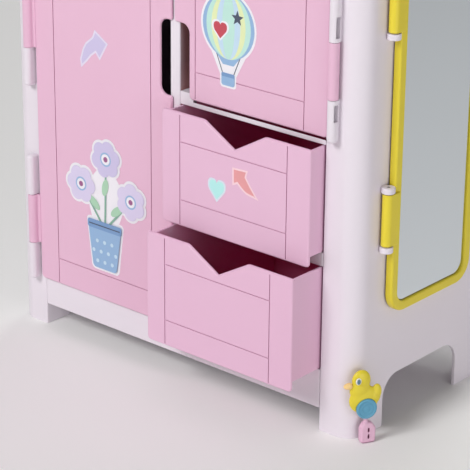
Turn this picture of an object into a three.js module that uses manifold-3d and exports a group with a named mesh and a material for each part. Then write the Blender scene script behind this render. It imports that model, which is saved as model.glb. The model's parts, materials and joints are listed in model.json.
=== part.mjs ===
// A doll's wardrobe in moulded plastic, in millimetres, +Z up, front towards -Y.
// Two doors stand side by side on a white frame: a tall one over the hanging space and a
// short one over two drawers. A full-length mirror hinges on the right side.
// While it is drawn, x = 0 is the middle of the centre post, y = 0 the doors' outer face and
// z = 0 the floor. At the end the group is moved so that the origin is the centre of its foot.
import * as THREE from 'three';
import { mergeVertices } from 'three/addons/utils/BufferGeometryUtils.js';
import Module from 'manifold-3d';

const wasm = await Module();
wasm.setup();

// Frame
const bodyWidth = 410;
const bodyBack = 198;
const bodyHeight = 588;
const wall = 3;
const frameSetBack = 3.3;
const sidePostWidth = 36.5;
const sideCornerRadius = 18;
const jambEdgeRadius = 1.2;
const jambReturn = 30;
const rearCornerRadius = 10;
const rearReturn = 26;
const centrePostWidth = 11.2;
const centrePostDepth = 14;
const centrePostEdge = 1;
const webThickness = 4;
const plinthBottom = 21.6;
const floorTop = 58;
const railThickness = 3.2;
const boardThickness = 3;
const backThickness = 2.5;
const archInset = 43;
const archTop = 46;
const archRadius = 20;
const seat = 0.3;
const overrun = 1;
const sameVertex = 1e-5;

// Cap
const capSkirtDrop = 18;
const capSkirt = 2.7;
const capEdgeRadius = 4;
const topRailHeight = 36;

// Doors
const doorThickness = 2.6;
const doorGap = 1.6;
const doorOverlap = 3.3;
const doorOverFloor = 9;
const doorBelowTop = 31;
const doorCorner = 3;
const freeStile = 24.7;
const hingeStile = 24.6;
const doorRailWidth = 26.5;
const grooveWidth = 0.9;
const grooveDepth = 0.6;
const rimInset = 8.2;
const rimThickness = 2;
const rimDepth = 5;
const rimClearance = 3;

// Handle openings
const handleBelowDoor = 1.6;
const handleRise = 66.9;
const leftHandleWidth = 13.4;
const rightHandleWidth = 17.1;
const handleRadius = 8;
const handleEdge = 1;

// Hinges of the doors
const barrelRadius = 4.7;
const barrelForward = 1.8;
const barrelBeyondDoor = 6.7;
const lugNeck = 4.4;
const knuckleLength = 48.5;
const knuckleGap = 0.8;
const lugLength = 39;
const pinRadius = 1.5;
const pinClearance = 0.3;
const pinInLug = 30;
const upperSlotLength = 18;
const lowerSlotLength = 14.6;
const upperSlotStart = 5;
const lowerSlotStart = 2.6;
const slotWidth = 4.6;
const slotBehindNose = 1.6;
const slotFromAxis = 0.8;
const hingeFromDoorEnd = 60.4;

// Shelf and rail over the drawers
const shelfFaceHeight = 11.8;
const doorOverRail = 4.6;
const drawerFaceGap = 0.5;

// Drawers
const drawerSideGap = 1.5;
const drawerHeight = 105;
const drawerWall = 2;
const drawerFrontThickness = 2.4;
const drawerFrontGap = 3.9;
const drawerLipLeft = 8.1;
const drawerLipBelow = 9.4;
const drawerBackGap = 24.5;
const drawerCorner = 4;
const drawerSideCorner = 1.5;
const drawerGrooveLeft = 21.7;
const drawerGrooveRight = 24.7;
const drawerGrooveTop = 26.2;
const drawerGrooveBottom = 25.1;
const notchWidth = 68;
const notchDepth = 19.4;
const notchShoulder = 9;
const notchFoot = 1;
const upperDrawerOut = 14.7;
const lowerDrawerOut = 34.8;
const drawerTravel = 130;
const stopHeight = 6;
const stopLength = 5;
const guideThickness = 2;
const guideHeight = 8;
const guideClearance = 1.2;

// Inside
const railRadius = 4;
const railDrop = 32;
const socketRadius = 8;
const socketDepth = 8;
const hangingRailDepth = 100;
const innerShelfHeight = 130;
const ledgeWidth = 6;
const ledgeHeight = 5;
const catchSize = 12;
const catchNose = 2.6;
const catchAboveHandle = 24;

// Side mirror
const mirrorFront = 42;
const mirrorBottom = 109;
const mirrorBelowTop = 113;
const mirrorRearInset = 40;
const mirrorRadius = 20;
const mirrorStandOff = 1.2;
const mirrorThickness = 7;
const mirrorBorder = 9;
const mirrorPocket = 4.5;
const mirrorGlassThickness = 2;
const mirrorAxisOut = 5.6;
const mirrorAxisForward = 6.5;
const mirrorBarrelRadius = 5;
const mirrorLugRadius = 5.9;
const mirrorLugNeck = 5.8;
const mirrorLugHeight = 5.2;
const mirrorKnuckleLength = 46.5;
const mirrorHingeFromEnd = 90;
const mirrorLeafThickness = 4;

// Snap-on ornament at the foot of the right post, its places as [across, up] from the foot's middle
const ornamentTurn = THREE.MathUtils.degToRad(61);
const ornamentStandOff = 4;
const duckThickness = 8;
const headCentre = [-0.5, 59.7];
const headLength = 8.4;
const headRadius = 10.1;
const neckCentre = [-1.3, 50.8];
const neckLength = 9.6;
const neckRadius = 9.2;
const bodyCentre = [2.4, 42.7];
const bodyLength = 14.2;
const bodyRadius = 14.7;
const tailCentre = [14.2, 49.2];
const tailLength = 4.5;
const tailRadius = 8;
const beakLength = 5.6;
const beakRootRadius = 3;
const beakTipRadius = 1.5;
const beakDrop = 3.9;
const eyeRadius = 2.6;
const eyeThickness = 0.8;
const pupilRadius = 1.4;
const eyeSeat = 0.1;
const eyeAcrossShare = -0.46;
const eyeUpShare = 0.09;
const discCentre = [3.8, 33.9];
const discRadius = 9.3;
const discThickness = 3;
const discGroove = 0.8;
const discGrooveWidth = 1.6;
const discGrooveShares = [0.78, 0.42];
const footWidth = 14;
const footHeight = 19.2;
const footThickness = 7;
const footCentre = 6.7;
const footCorner = 2;
const footSlotWidth = 2;
const footSlotHeight = 4.4;
const footSlotGap = 1.8;
const stemRadius = 1.8;
const stemTop = 35;
const stemAcross = 5;
const pegRadius = 3.5;

// Stickers: how far each lies from its panel's free edge and bottom, its size and its outline
const stickerThickness = 0.3;
const stickerGap = 0.05;
const stickerCorner = 0.5;
const lilacArrow = { across: 76.3, up: 222.8, width: 35.4, height: 39.4 };
const lilacArrowShares = [[0.03, 0], [0, 0.21], [0.1, 0.48], [0.2, 0.63], [0.44, 0.81], [0.47, 0.86],
  [0.53, 1], [1, 0.74], [0.7, 0.29], [0.56, 0.45], [0.41, 0.35], [0.24, 0.18]];
const coralArrow = { across: 82.1, up: 46.1, width: 31.4, height: 24.6 };
const coralArrowShares = [[1, 0], [0.9, 0.13], [0.67, 0.48], [0.52, 0.74], [0.58, 1], [0, 0.97],
  [0.01, 0.29], [0.19, 0.4], [0.32, 0.26], [0.41, 0.18], [0.52, 0.11], [0.68, 0.07], [0.83, 0.05]];
const mintHeart = { across: 54.5, up: 33.5, width: 20.4, height: 21.2 };
const heartShares = { shoulder: 0.72, dip: 0.84, top: 1.1 };
const flowerPot = { middle: 83.4, up: 30, width: 48, height: 52, footWidth: 34.6, corner: 5 };
const flowerRadius = 21;
const stemStart = 24;
const flowerShares = [[-0.62, 1.55], [0.05, 2.15], [0.7, 1.5]];
const balloon = { middle: 62.4, up: 20.5, radius: 31, basket: 18, basketHeight: 13, rise: 54, corner: 3 };
const basketLap = 2.6;
const balloonWaistShare = 0.75;
const balloonDropShare = 0.62;

// Back screws
const screwHeadRadius = 3.5;
const screwHeadHeight = 2;
const screwShankRadius = 1.4;
const screwHoleRadius = 1.7;
const screwRows = 3;
const screwEndMargin = 50;
const screwFromEdge = 17;

// Places worked out from the sizes above
const outer = bodyWidth / 2;
const jamb = outer - sidePostWidth;
const leftDoorBottom = floorTop - doorOverFloor;
const doorTop = bodyHeight - doorBelowTop;
const drawerWidth = jamb - drawerSideGap;
const mirrorTop = bodyHeight - mirrorBelowTop;
const panelTop = bodyHeight - wall - seat;
const halfPost = centrePostWidth / 2;
const halfWeb = webThickness / 2;
const rightDoorBottomOver = drawerHeight + drawerFrontGap + drawerHeight + drawerFaceGap + shelfFaceHeight;
const shelfTop = leftDoorBottom + rightDoorBottomOver;
const rightDoorBottom = shelfTop - doorOverRail;
const lowerDrawerBottom = leftDoorBottom;
const upperDrawerBottom = lowerDrawerBottom + drawerHeight + drawerFrontGap;
const handleBottom = rightDoorBottom - handleBelowDoor;
const handleTop = rightDoorBottom + handleRise;
const topRailBottom = panelTop - topRailHeight;
const backFront = bodyBack - wall - seat - backThickness;
const boardFront = frameSetBack + railThickness + seat;
const boardBack = backFront - seat;
const drawerDepth = boardBack - drawerBackGap - drawerFrontThickness;
const hingeEdge = jamb + doorOverlap;
const hingeX = hingeEdge + barrelBeyondDoor;
const returnBack = frameSetBack + jambReturn + seat;
const sideInner = outer - wall - seat;

const material = (colour, roughness, metalness = 0) =>
  new THREE.MeshStandardMaterial({ color: colour, roughness, metalness });
const pink = material(0xe6b9d2, 0.42);
const white = material(0xe2d8e0, 0.4);
const yellow = material(0xf4dc22, 0.35);
const blue = material(0x4fa3cf, 0.35);
const orange = material(0xf3b548, 0.35);
const steel = material(0xb8b8bc, 0.3, 0.9);
const silver = material(0xdfe3e8, 0.05, 1);
const vinyl = material(0xf2f0f5, 0.3);
const dark = material(0x2c3550, 0.3);

const wardrobe = new THREE.Group();

/** Turns a closed three.js geometry into a manifold solid. */
function solid(geometry) {
  const bare = geometry.clone();
  bare.deleteAttribute('normal');
  bare.deleteAttribute('uv');
  const merged = mergeVertices(bare, sameVertex);
  return new wasm.Manifold(new wasm.Mesh({
    numProp: 3,
    vertProperties: new Float32Array(merged.attributes.position.array),
    triVerts: new Uint32Array(merged.index.array),
  }));
}

/** Turns a manifold solid back into a geometry. */
function geometryOf(body) {
  const mesh = body.getMesh();
  const geometry = new THREE.BufferGeometry();
  geometry.setAttribute('position', new THREE.BufferAttribute(mesh.vertProperties, 3));
  geometry.setIndex(new THREE.BufferAttribute(mesh.triVerts, 1));
  geometry.computeVertexNormals();
  return geometry;
}

const join = (first, ...rest) => rest.reduce((sum, next) => sum.add(next), first);
const cut = (first, ...rest) => rest.reduce((sum, next) => sum.subtract(next), first);

/** Adds a named piece to a group, the wardrobe unless another is given. */
function piece(name, finish, body, parent = wardrobe) {
  const mesh = new THREE.Mesh(geometryOf(body), finish);
  mesh.name = name;
  parent.add(mesh);
  return mesh;
}

/** An outline from corners [u, v, radius], with an arc at each corner that has a radius. */
function outline(corners) {
  const shape = new THREE.Shape();
  const count = corners.length;
  corners.forEach(([u, v, radius = 0], i) => {
    const here = new THREE.Vector2(u, v);
    const before = new THREE.Vector2(...corners[(i + count - 1) % count]).sub(here).normalize();
    const after = new THREE.Vector2(...corners[(i + 1) % count]).sub(here).normalize();
    if (!radius) {
      if (i) shape.lineTo(u, v);
      else shape.moveTo(u, v);
      return;
    }
    const half = Math.acos(THREE.MathUtils.clamp(before.dot(after), -1, 1)) / 2;
    const middle = before.clone().add(after).setLength(radius / Math.sin(half));
    const centre = here.clone().add(middle);
    const reach = radius / Math.tan(half);
    const from = here.clone().addScaledVector(before, reach).sub(centre);
    const to = here.clone().addScaledVector(after, reach).sub(centre);
    if (!i) shape.moveTo(centre.x + from.x, centre.y + from.y);
    shape.absarc(centre.x, centre.y, radius, from.angle(), to.angle(), before.cross(after) > 0);
  });
  shape.closePath();
  return shape;
}

/** Corners of a rectangle, all with one radius. */
const rectangle = (u0, u1, v0, v1, radius = 0) =>
  [[u0, v0, radius], [u1, v0, radius], [u1, v1, radius], [u0, v1, radius]];

/** A closed circle as a shape. */
function circle(u, v, radius) {
  const shape = new THREE.Shape();
  shape.absarc(u, v, radius, 0, 2 * Math.PI, false);
  return shape;
}

const extrude = (shape, depth, smooth, bevel = {}) =>
  new THREE.ExtrudeGeometry(shape, { depth, curveSegments: smooth, bevelEnabled: false, ...bevel });

/** A shape drawn in X and Y, raised from z0 to z1. */
const standing = (shape, z0, z1, smooth = 3) =>
  solid(extrude(shape, z1 - z0, smooth).translate(0, 0, z0));

/** A shape drawn in X and Z, given thickness from y0 to y1. */
const facing = (shape, y0, y1, smooth = 3) =>
  solid(extrude(shape, y1 - y0, smooth).rotateX(Math.PI / 2).translate(0, y1, 0));

/** A shape drawn in Y and Z, given thickness from x0 to x1. */
function sideways(shape, x0, x1, smooth = 3) {
  const turn = new THREE.Matrix4().makeBasis(
    new THREE.Vector3(0, 1, 0), new THREE.Vector3(0, 0, 1), new THREE.Vector3(1, 0, 0));
  return solid(extrude(shape, x1 - x0, smooth).applyMatrix4(turn).translate(x0, 0, 0));
}

/** A block between two corners, given in any order along X. */
function block(xa, xb, y0, y1, z0, z1) {
  const box = new THREE.BoxGeometry(Math.abs(xb - xa), y1 - y0, z1 - z0);
  return solid(box.translate((xa + xb) / 2, (y0 + y1) / 2, (z0 + z1) / 2));
}

/** An upright rod. */
const rod = (x, y, z0, z1, radius, sides = 12) =>
  solid(new THREE.CylinderGeometry(radius, radius, z1 - z0, sides)
    .rotateX(Math.PI / 2).translate(x, y, (z0 + z1) / 2));

/** A ball whose equator has the same corners as a rod with that many sides. */
const ball = (x, y, z, radius, sides) =>
  solid(new THREE.SphereGeometry(radius, sides, sides / 2).rotateY(-Math.PI / 2).rotateX(Math.PI / 2)
    .translate(x, y, z));

/** Heights of a door's hinges: near both ends, and one between them on the tall door. */
function hingeHeights(bottom, isTall) {
  const ends = [bottom + hingeFromDoorEnd, doorTop - hingeFromDoorEnd];
  return isTall ? [ends[0], (ends[0] + ends[1]) / 2, ends[1]] : ends;
}
const leftHinges = hingeHeights(leftDoorBottom, true);
const rightHinges = hingeHeights(rightDoorBottom, false);

/** One white lug of a door hinge: a domed barrel on a neck, with a moulding slot. */
function hingeLug(side, centre, up) {
  const inner = centre + up * (knuckleLength / 2 + knuckleGap);
  const domeCentre = inner + up * (lugLength - barrelRadius);
  const [low, high] = [Math.min(inner, domeCentre), Math.max(inner, domeCentre)];
  const x = side * hingeX;
  const barrel = rod(x, -barrelForward, low, high, barrelRadius, 16);
  const neck = block(x - lugNeck / 2, x + lugNeck / 2, -barrelForward, frameSetBack + wall / 2, low, high);
  const dome = ball(x, -barrelForward, domeCentre, barrelRadius, 16);
  const slotNear = inner + up * (up > 0 ? upperSlotStart : lowerSlotStart);
  const slotFar = slotNear + up * (up > 0 ? upperSlotLength : lowerSlotLength);
  const slotFront = -barrelForward - barrelRadius + slotBehindNose;
  const slot = block(x + side * slotFromAxis, x + side * (barrelRadius + overrun), slotFront,
    slotFront + slotWidth, Math.min(slotNear, slotFar), Math.max(slotNear, slotFar));
  return cut(join(barrel, neck, dome), slot);
}

/** The room that a hinge's pin needs: the bore through both lugs and the knuckle. */
function pinBore(side, centre) {
  const half = knuckleLength / 2 + knuckleGap + pinInLug + seat;
  return rod(side * hingeX, -barrelForward, centre - half, centre + half, pinRadius + pinClearance);
}

/** Places of the screws that hold the back, as [x, z]. */
function screwPlaces(side) {
  const span = panelTop - 2 * screwEndMargin;
  return Array.from({ length: screwRows }, (unused, row) =>
    [side * (outer - screwFromEdge), screwEndMargin + (span * row) / (screwRows - 1)]);
}

/** A screw hole along Y. */
const screwHole = ([x, z], y0, y1) =>
  solid(new THREE.CylinderGeometry(screwHoleRadius, screwHoleRadius, y1 - y0, 8)
    .translate(x, (y0 + y1) / 2, z));

/** A side of the frame: rounded front post, flat side and rear return in one moulding. */
function sidePanel(side) {
  const section = [
    [jamb, frameSetBack, jambEdgeRadius],
    [outer, frameSetBack, sideCornerRadius],
    [outer, bodyBack, rearCornerRadius],
    [outer - rearReturn, bodyBack],
    [outer - rearReturn, bodyBack - wall],
    [outer - wall, bodyBack - wall, rearCornerRadius - wall],
    [outer - wall, frameSetBack + wall, sideCornerRadius - wall],
    [jamb + wall, frameSetBack + wall],
    [jamb + wall, frameSetBack + jambReturn],
    [jamb, frameSetBack + jambReturn],
  ].map(([x, y, radius]) => [side * x, y, radius]);
  const archFront = frameSetBack + archInset;
  const archBack = bodyBack - archInset;
  const arch = outline([
    [archFront, -overrun], [archBack, -overrun], [archBack, archTop, archRadius],
    [archFront, archTop, archRadius]]);
  const archEnds = [side * (outer - wall - overrun), side * (outer + overrun)].sort((a, b) => a - b);
  const hinges = side < 0 ? leftHinges : rightHinges;
  const lugs = hinges.flatMap((centre) => [hingeLug(side, centre, 1), hingeLug(side, centre, -1)]);
  const bores = hinges.map((centre) => pinBore(side, centre));
  const holes = screwPlaces(side).map((place) =>
    screwHole(place, bodyBack - wall - overrun, bodyBack + overrun));
  const shell = cut(standing(outline(section), 0, panelTop, 5), sideways(arch, ...archEnds));
  return cut(join(shell, ...lugs), ...bores, ...holes);
}

/** A level board from the left side or the centre post to the right side, clear of the posts. */
function board(isFull, z0, z1, front = boardFront) {
  const clearPost = frameSetBack + centrePostDepth + seat;
  const corners = [[jamb - seat, front], [jamb - seat, returnBack], [sideInner, returnBack],
    [sideInner, boardBack, rearCornerRadius]];
  if (isFull) {
    corners.push([-sideInner, boardBack, rearCornerRadius], [-sideInner, returnBack],
      [-jamb + seat, returnBack], [-jamb + seat, front]);
  } else {
    corners.push([halfWeb + seat, boardBack], [halfWeb + seat, Math.max(front, clearPost)]);
    if (front < clearPost) corners.push([halfPost + seat, clearPost], [halfPost + seat, front]);
  }
  return standing(outline(corners), z0, z1);
}

/** Two ribs that guide a drawer, standing on the board below it. */
function drawerGuides(boardTop) {
  const y0 = returnBack + seat;
  const right = drawerWidth + guideClearance;
  const left = drawerLipLeft - guideClearance - guideThickness;
  const base = boardTop - boardThickness / 2;
  return [
    block(right, right + guideThickness, y0, boardBack, base, boardTop + guideHeight),
    block(left, left + guideThickness, y0, boardBack, base, boardTop + guideHeight),
  ];
}

/** The fixed frame, from the floor up. */
function buildFrame() {
  for (const [name, side] of [['side_panel_left', -1], ['side_panel_right', 1]]) {
    piece(name, white, sidePanel(side));
  }

  const holes = [-1, 1].flatMap((side) => screwPlaces(side).map((place) =>
    screwHole(place, backFront - overrun, bodyBack)));
  const backHalf = outer - rearCornerRadius - seat;
  const back = block(-backHalf, backHalf, backFront, backFront + backThickness, plinthBottom, panelTop);
  piece('back_panel', white, cut(back, ...holes));

  const half = jamb - seat;
  const railBack = frameSetBack + railThickness;
  piece('plinth_rail', white, block(-half, half, frameSetBack, railBack, plinthBottom, floorTop));
  piece('floor_panel', white,
    join(board(true, floorTop - boardThickness, floorTop), ...drawerGuides(floorTop)));

  const postTop = topRailBottom - seat;
  const clearPost = frameSetBack + centrePostDepth;
  piece('centre_divider', white, standing(outline([
    [-halfPost, frameSetBack, centrePostEdge], [halfPost, frameSetBack, centrePostEdge],
    [halfPost, clearPost], [halfWeb, clearPost], [halfWeb, boardBack], [-halfWeb, boardBack],
    [-halfWeb, clearPost], [-halfPost, clearPost],
  ]), floorTop + seat, postTop));

  const faceLeft = halfPost + seat;
  const drawerBoardTop = upperDrawerBottom + drawerLipBelow - seat;
  const drawerFaceBottom = lowerDrawerBottom + drawerHeight + drawerFaceGap;
  piece('drawer_board', white, join(
    board(false, drawerBoardTop - boardThickness, drawerBoardTop),
    block(faceLeft, half, frameSetBack, boardFront + overrun, drawerFaceBottom, drawerBoardTop),
    ...drawerGuides(drawerBoardTop)));
  piece('middle_shelf', white, join(
    board(false, shelfTop - boardThickness, shelfTop),
    block(faceLeft, half, frameSetBack, boardFront + overrun, shelfTop - shelfFaceHeight, shelfTop)));

  piece('top_rail', white, block(-half, half, frameSetBack, railBack, topRailBottom, panelTop));
  piece('ceiling_panel', white, board(true, topRailBottom, topRailBottom + boardThickness));

  const capCorners = (grow) => [-1, 1].flatMap((side) => {
    const front = [side * (outer + grow), frameSetBack - grow, sideCornerRadius + grow];
    const rear = [side * (outer + grow), bodyBack + grow, rearCornerRadius + grow];
    return side < 0 ? [rear, front] : [front, rear];
  });
  const capBottom = bodyHeight - capSkirtDrop;
  const capGrow = seat + capSkirt;
  const capBlank = solid(extrude(outline(capCorners(capGrow - capEdgeRadius)), capSkirtDrop, 4, {
    bevelEnabled: true, bevelThickness: capEdgeRadius, bevelSize: capEdgeRadius, bevelSegments: 3,
  }).translate(0, 0, capBottom - capEdgeRadius));
  const under = block(-bodyWidth, bodyWidth, -bodyBack, 2 * bodyBack,
    capBottom - 2 * capEdgeRadius, capBottom);
  const pocket = standing(outline(capCorners(seat)), capBottom - overrun, bodyHeight - wall, 4);
  piece('top_panel', white, cut(capBlank, under, pocket));

  for (const side of [-1, 1]) {
    screwPlaces(side).forEach(([x, z], row) => {
      const head = new THREE.CylinderGeometry(screwHeadRadius, screwHeadRadius, screwHeadHeight, 12)
        .translate(x, bodyBack + seat / 2 + screwHeadHeight / 2, z);
      const shankFront = backFront;
      const shank = new THREE.CylinderGeometry(screwShankRadius, screwShankRadius,
        bodyBack + screwHeadHeight - shankFront, 8)
        .translate(x, (bodyBack + screwHeadHeight + shankFront) / 2, z);
      piece(`back_screw_${side < 0 ? 'left' : 'right'}_${row + 1}`, steel, join(solid(head), solid(shank)));
    });
  }
}

/** Corners of a door, all moved inwards by an inset, with its handle opening. */
function doorCorners(side, inset, hingeInset, endInset, radius) {
  const free = doorGap + inset;
  const hinge = hingeEdge - hingeInset;
  const top = doorTop - endInset;
  const isLeft = side < 0;
  const bottom = (isLeft ? leftDoorBottom : rightDoorBottom) + endInset;
  const handleX = doorGap + (isLeft ? leftHandleWidth : rightHandleWidth) + inset;
  const handleHigh = handleTop + inset;
  const handleLow = handleBottom - inset;
  const edge = inset ? 0 : handleEdge;
  const corners = [[hinge, bottom, radius], [hinge, top, radius], [free, top, radius],
    [free, handleHigh, edge], [handleX, handleHigh, handleRadius]];
  if (isLeft) {
    corners.push([handleX, handleLow, handleRadius], [free, handleLow, edge], [free, bottom, radius]);
  } else {
    corners.push([handleX, bottom, radius]);
  }
  return outline(corners.map(([x, z, r]) => [side * x, z, r]));
}

/** The fine grooves that draw a frame of stiles and rails on a front panel. */
function grooves(xs, zs, bottom, top, face) {
  const half = grooveWidth / 2;
  const y0 = face - overrun;
  const y1 = face + grooveDepth;
  const [left, right] = [Math.min(...xs), Math.max(...xs)];
  return [
    ...xs.map((x) => block(x - half, x + half, y0, y1, bottom - overrun, top + overrun)),
    ...zs.map((z) => block(left, right, y0, y1, z - half, z + half)),
  ];
}

/** A door with its rim, grooves, handle opening and hinge knuckles. */
function door(side) {
  const bottom = side < 0 ? leftDoorBottom : rightDoorBottom;
  const frameBottom = side < 0 ? floorTop : shelfTop;
  const endInset = Math.max(frameBottom - bottom, doorTop - topRailBottom) + rimClearance;
  const hingeInset = doorOverlap + rimClearance;
  const plate = facing(doorCorners(side, 0, 0, 0, doorCorner), 0, doorThickness);
  const base = doorThickness / 2;
  const rim = cut(
    facing(doorCorners(side, rimInset, hingeInset, endInset, doorCorner), base, doorThickness + rimDepth),
    facing(doorCorners(side, rimInset + rimThickness, hingeInset + rimThickness, endInset + rimThickness,
      doorCorner), base - overrun, doorThickness + rimDepth + overrun));
  const x = side * hingeX;
  const knuckles = (side < 0 ? leftHinges : rightHinges).flatMap((centre) => {
    const z0 = centre - knuckleLength / 2;
    const z1 = centre + knuckleLength / 2;
    return [rod(x, -barrelForward, z0, z1, barrelRadius, 20),
      block(side * (hingeEdge - doorOverlap), x, 0, doorThickness, z0, z1)];
  });
  const bores = (side < 0 ? leftHinges : rightHinges).map((centre) => pinBore(side, centre));
  const lines = grooves([side * (doorGap + freeStile), side * (hingeEdge - hingeStile)],
    [bottom + doorRailWidth, doorTop - doorRailWidth], bottom, doorTop, 0);
  return cut(join(plate, rim, ...knuckles), ...bores, ...lines);
}

/** Both doors with their hinge pins and catches. */
function buildDoors() {
  piece('left_door', pink, door(-1));
  piece('right_door', pink, door(1));
  const half = knuckleLength / 2 + knuckleGap + pinInLug;
  const sets = [[-1, 'left', leftHinges, ['lower', 'middle', 'upper']],
    [1, 'right', rightHinges, ['lower', 'upper']]];
  for (const [side, word, hinges, ranks] of sets) {
    hinges.forEach((centre, i) => piece(`${word}_door_pin_${ranks[i]}`, steel,
      rod(side * hingeX, -barrelForward, centre - half, centre + half, pinRadius)));
    const flank = halfPost + seat;
    const y0 = doorThickness + rimDepth + seat;
    const z0 = handleTop + catchAboveHandle;
    piece(`door_catch_${word}`, white, block(side * flank, side * (flank + catchNose), y0,
      frameSetBack + centrePostDepth, z0, z0 + catchSize));
  }
}

/** One drawer: an open box and the front that closes it, drawn shut and then pulled out. */
function buildDrawer(name, bottom, out) {
  const top = bottom + drawerHeight;
  const middle = drawerWidth / 2;
  const halfNotch = notchWidth / 2;
  const front = facing(outline([
    [0, bottom, drawerCorner], [drawerWidth, bottom, drawerCorner], [drawerWidth, top, drawerSideCorner],
    [middle + halfNotch, top, notchShoulder], [middle, top - notchDepth, notchFoot],
    [middle - halfNotch, top, notchShoulder], [0, top, drawerCorner],
  ]), 0, drawerFrontThickness);
  const lines = grooves([drawerGrooveLeft, drawerWidth - drawerGrooveRight],
    [top - drawerGrooveTop, bottom + drawerGrooveBottom], bottom, top, 0);
  const frontMesh = piece(`${name}_front`, pink, cut(front, ...lines));

  const boxFront = drawerFrontThickness + seat;
  const boxBack = drawerFrontThickness + drawerDepth;
  const boxBottom = bottom + drawerLipBelow;
  const shell = block(drawerLipLeft, drawerWidth, boxFront, boxBack, boxBottom, top);
  const room = block(drawerLipLeft + drawerWall, drawerWidth - drawerWall, boxFront - overrun,
    boxBack - drawerWall, boxBottom + drawerWall, top + overrun);
  const stopFront = boardFront + overrun + seat + drawerTravel;
  const stops = [drawerLipLeft, drawerWidth - drawerWall].map((x) =>
    block(x, x + drawerWall, stopFront, stopFront + stopLength, top - drawerWall, top + stopHeight));
  const boxMesh = piece(`${name}_box`, pink, join(cut(shell, room), ...stops));
  for (const mesh of [frontMesh, boxMesh]) mesh.position.y = -out;
}

/** The fittings inside: hanging rail, its sockets, the loose shelf and its ledges. */
function buildInside() {
  const z = topRailBottom - railDrop;
  const along = (x0, x1, radius, sides) =>
    solid(new THREE.CylinderGeometry(radius, radius, x1 - x0, sides)
      .rotateZ(Math.PI / 2).translate((x0 + x1) / 2, hangingRailDepth, z));
  const left = -sideInner;
  const right = -halfWeb - seat;
  piece('hanging_rail', white, along(left + seat, right - seat, railRadius, 12));
  const bore = along(left - overrun, right + overrun, railRadius + seat, 16);
  piece('rail_socket_left', white, cut(along(left, left + socketDepth, socketRadius, 16), bore));
  piece('rail_socket_right', white, cut(along(right - socketDepth, right, socketRadius, 16), bore));

  const shelfBottom = shelfTop + innerShelfHeight;
  const shelfFront = frameSetBack + centrePostDepth + seat;
  piece('inner_shelf', white, board(false, shelfBottom, shelfBottom + boardThickness, shelfFront));
  const ledges = [['shelf_ledge_left', halfWeb + seat, 1], ['shelf_ledge_right', sideInner, -1]];
  for (const [name, x, way] of ledges) {
    piece(name, white, block(x, x + way * ledgeWidth, returnBack, boardBack - rearCornerRadius,
      shelfBottom - seat - ledgeHeight, shelfBottom - seat));
  }
}

/** The full-length mirror on the right side, on two hinges at its front edge. */
function buildMirror() {
  const rear = bodyBack - mirrorRearInset;
  const x0 = outer + mirrorStandOff;
  const x1 = x0 + mirrorThickness;
  const axisX = outer + mirrorAxisOut;
  const axisY = mirrorFront - mirrorAxisForward;
  const rim = rectangle(mirrorFront, rear, mirrorBottom, mirrorTop, mirrorRadius);
  const plate = sideways(outline(rim), x0, x1);
  const hole = rectangle(mirrorFront + mirrorBorder, rear - mirrorBorder, mirrorBottom + mirrorBorder,
    mirrorTop - mirrorBorder, mirrorRadius - mirrorBorder);
  const pocket = sideways(outline(hole), x1 - mirrorPocket, x1 + overrun);
  const centres = [mirrorBottom + mirrorHingeFromEnd, mirrorTop - mirrorHingeFromEnd];
  const half = mirrorKnuckleLength / 2;
  const pinHalf = half + knuckleGap + mirrorLugHeight;
  const knuckles = centres.flatMap((centre) => [
    rod(axisX, axisY, centre - half, centre + half, mirrorBarrelRadius, 20),
    block(axisX + mirrorBarrelRadius - mirrorLeafThickness, axisX + mirrorBarrelRadius, axisY,
      mirrorFront + mirrorBorder / 2, centre - half, centre + half),
  ]);
  const bores = centres.map((centre) =>
    rod(axisX, axisY, centre - pinHalf, centre + pinHalf, pinRadius + pinClearance));
  piece('mirror_frame', yellow, cut(join(cut(plate, pocket), ...knuckles), ...bores));

  const glassBack = x1 - mirrorPocket + seat;
  piece('mirror_glass', silver, sideways(outline(hole.map(([y, z, radius], i) =>
    [y + (i === 0 || i === 3 ? seat : -seat), z + (i < 2 ? seat : -seat), radius - seat])),
  glassBack, glassBack + mirrorGlassThickness));

  centres.forEach((centre, i) => {
    const rank = i ? 'upper' : 'lower';
    piece(`mirror_pin_${rank}`, steel, rod(axisX, axisY, centre - pinHalf, centre + pinHalf, pinRadius));
    for (const [end, up] of [['bottom', -1], ['top', 1]]) {
      const near = centre + up * (half + knuckleGap);
      const far = near + up * mirrorLugHeight;
      const [low, high] = [Math.min(near, far), Math.max(near, far)];
      piece(`mirror_lug_${rank}_${end}`, white, cut(
        join(rod(axisX, axisY, low, high, mirrorLugRadius, 20),
          block(outer + seat, axisX, axisY - mirrorLugNeck / 2, axisY + mirrorLugNeck / 2, low, high)),
        block(outer - mirrorLugRadius, outer + seat, axisY - mirrorLugRadius - overrun,
          axisY + mirrorLugRadius + overrun, low - overrun, high + overrun),
        rod(axisX, axisY, low - overrun, high + overrun, pinRadius + pinClearance)));
    }
  });
}

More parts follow.
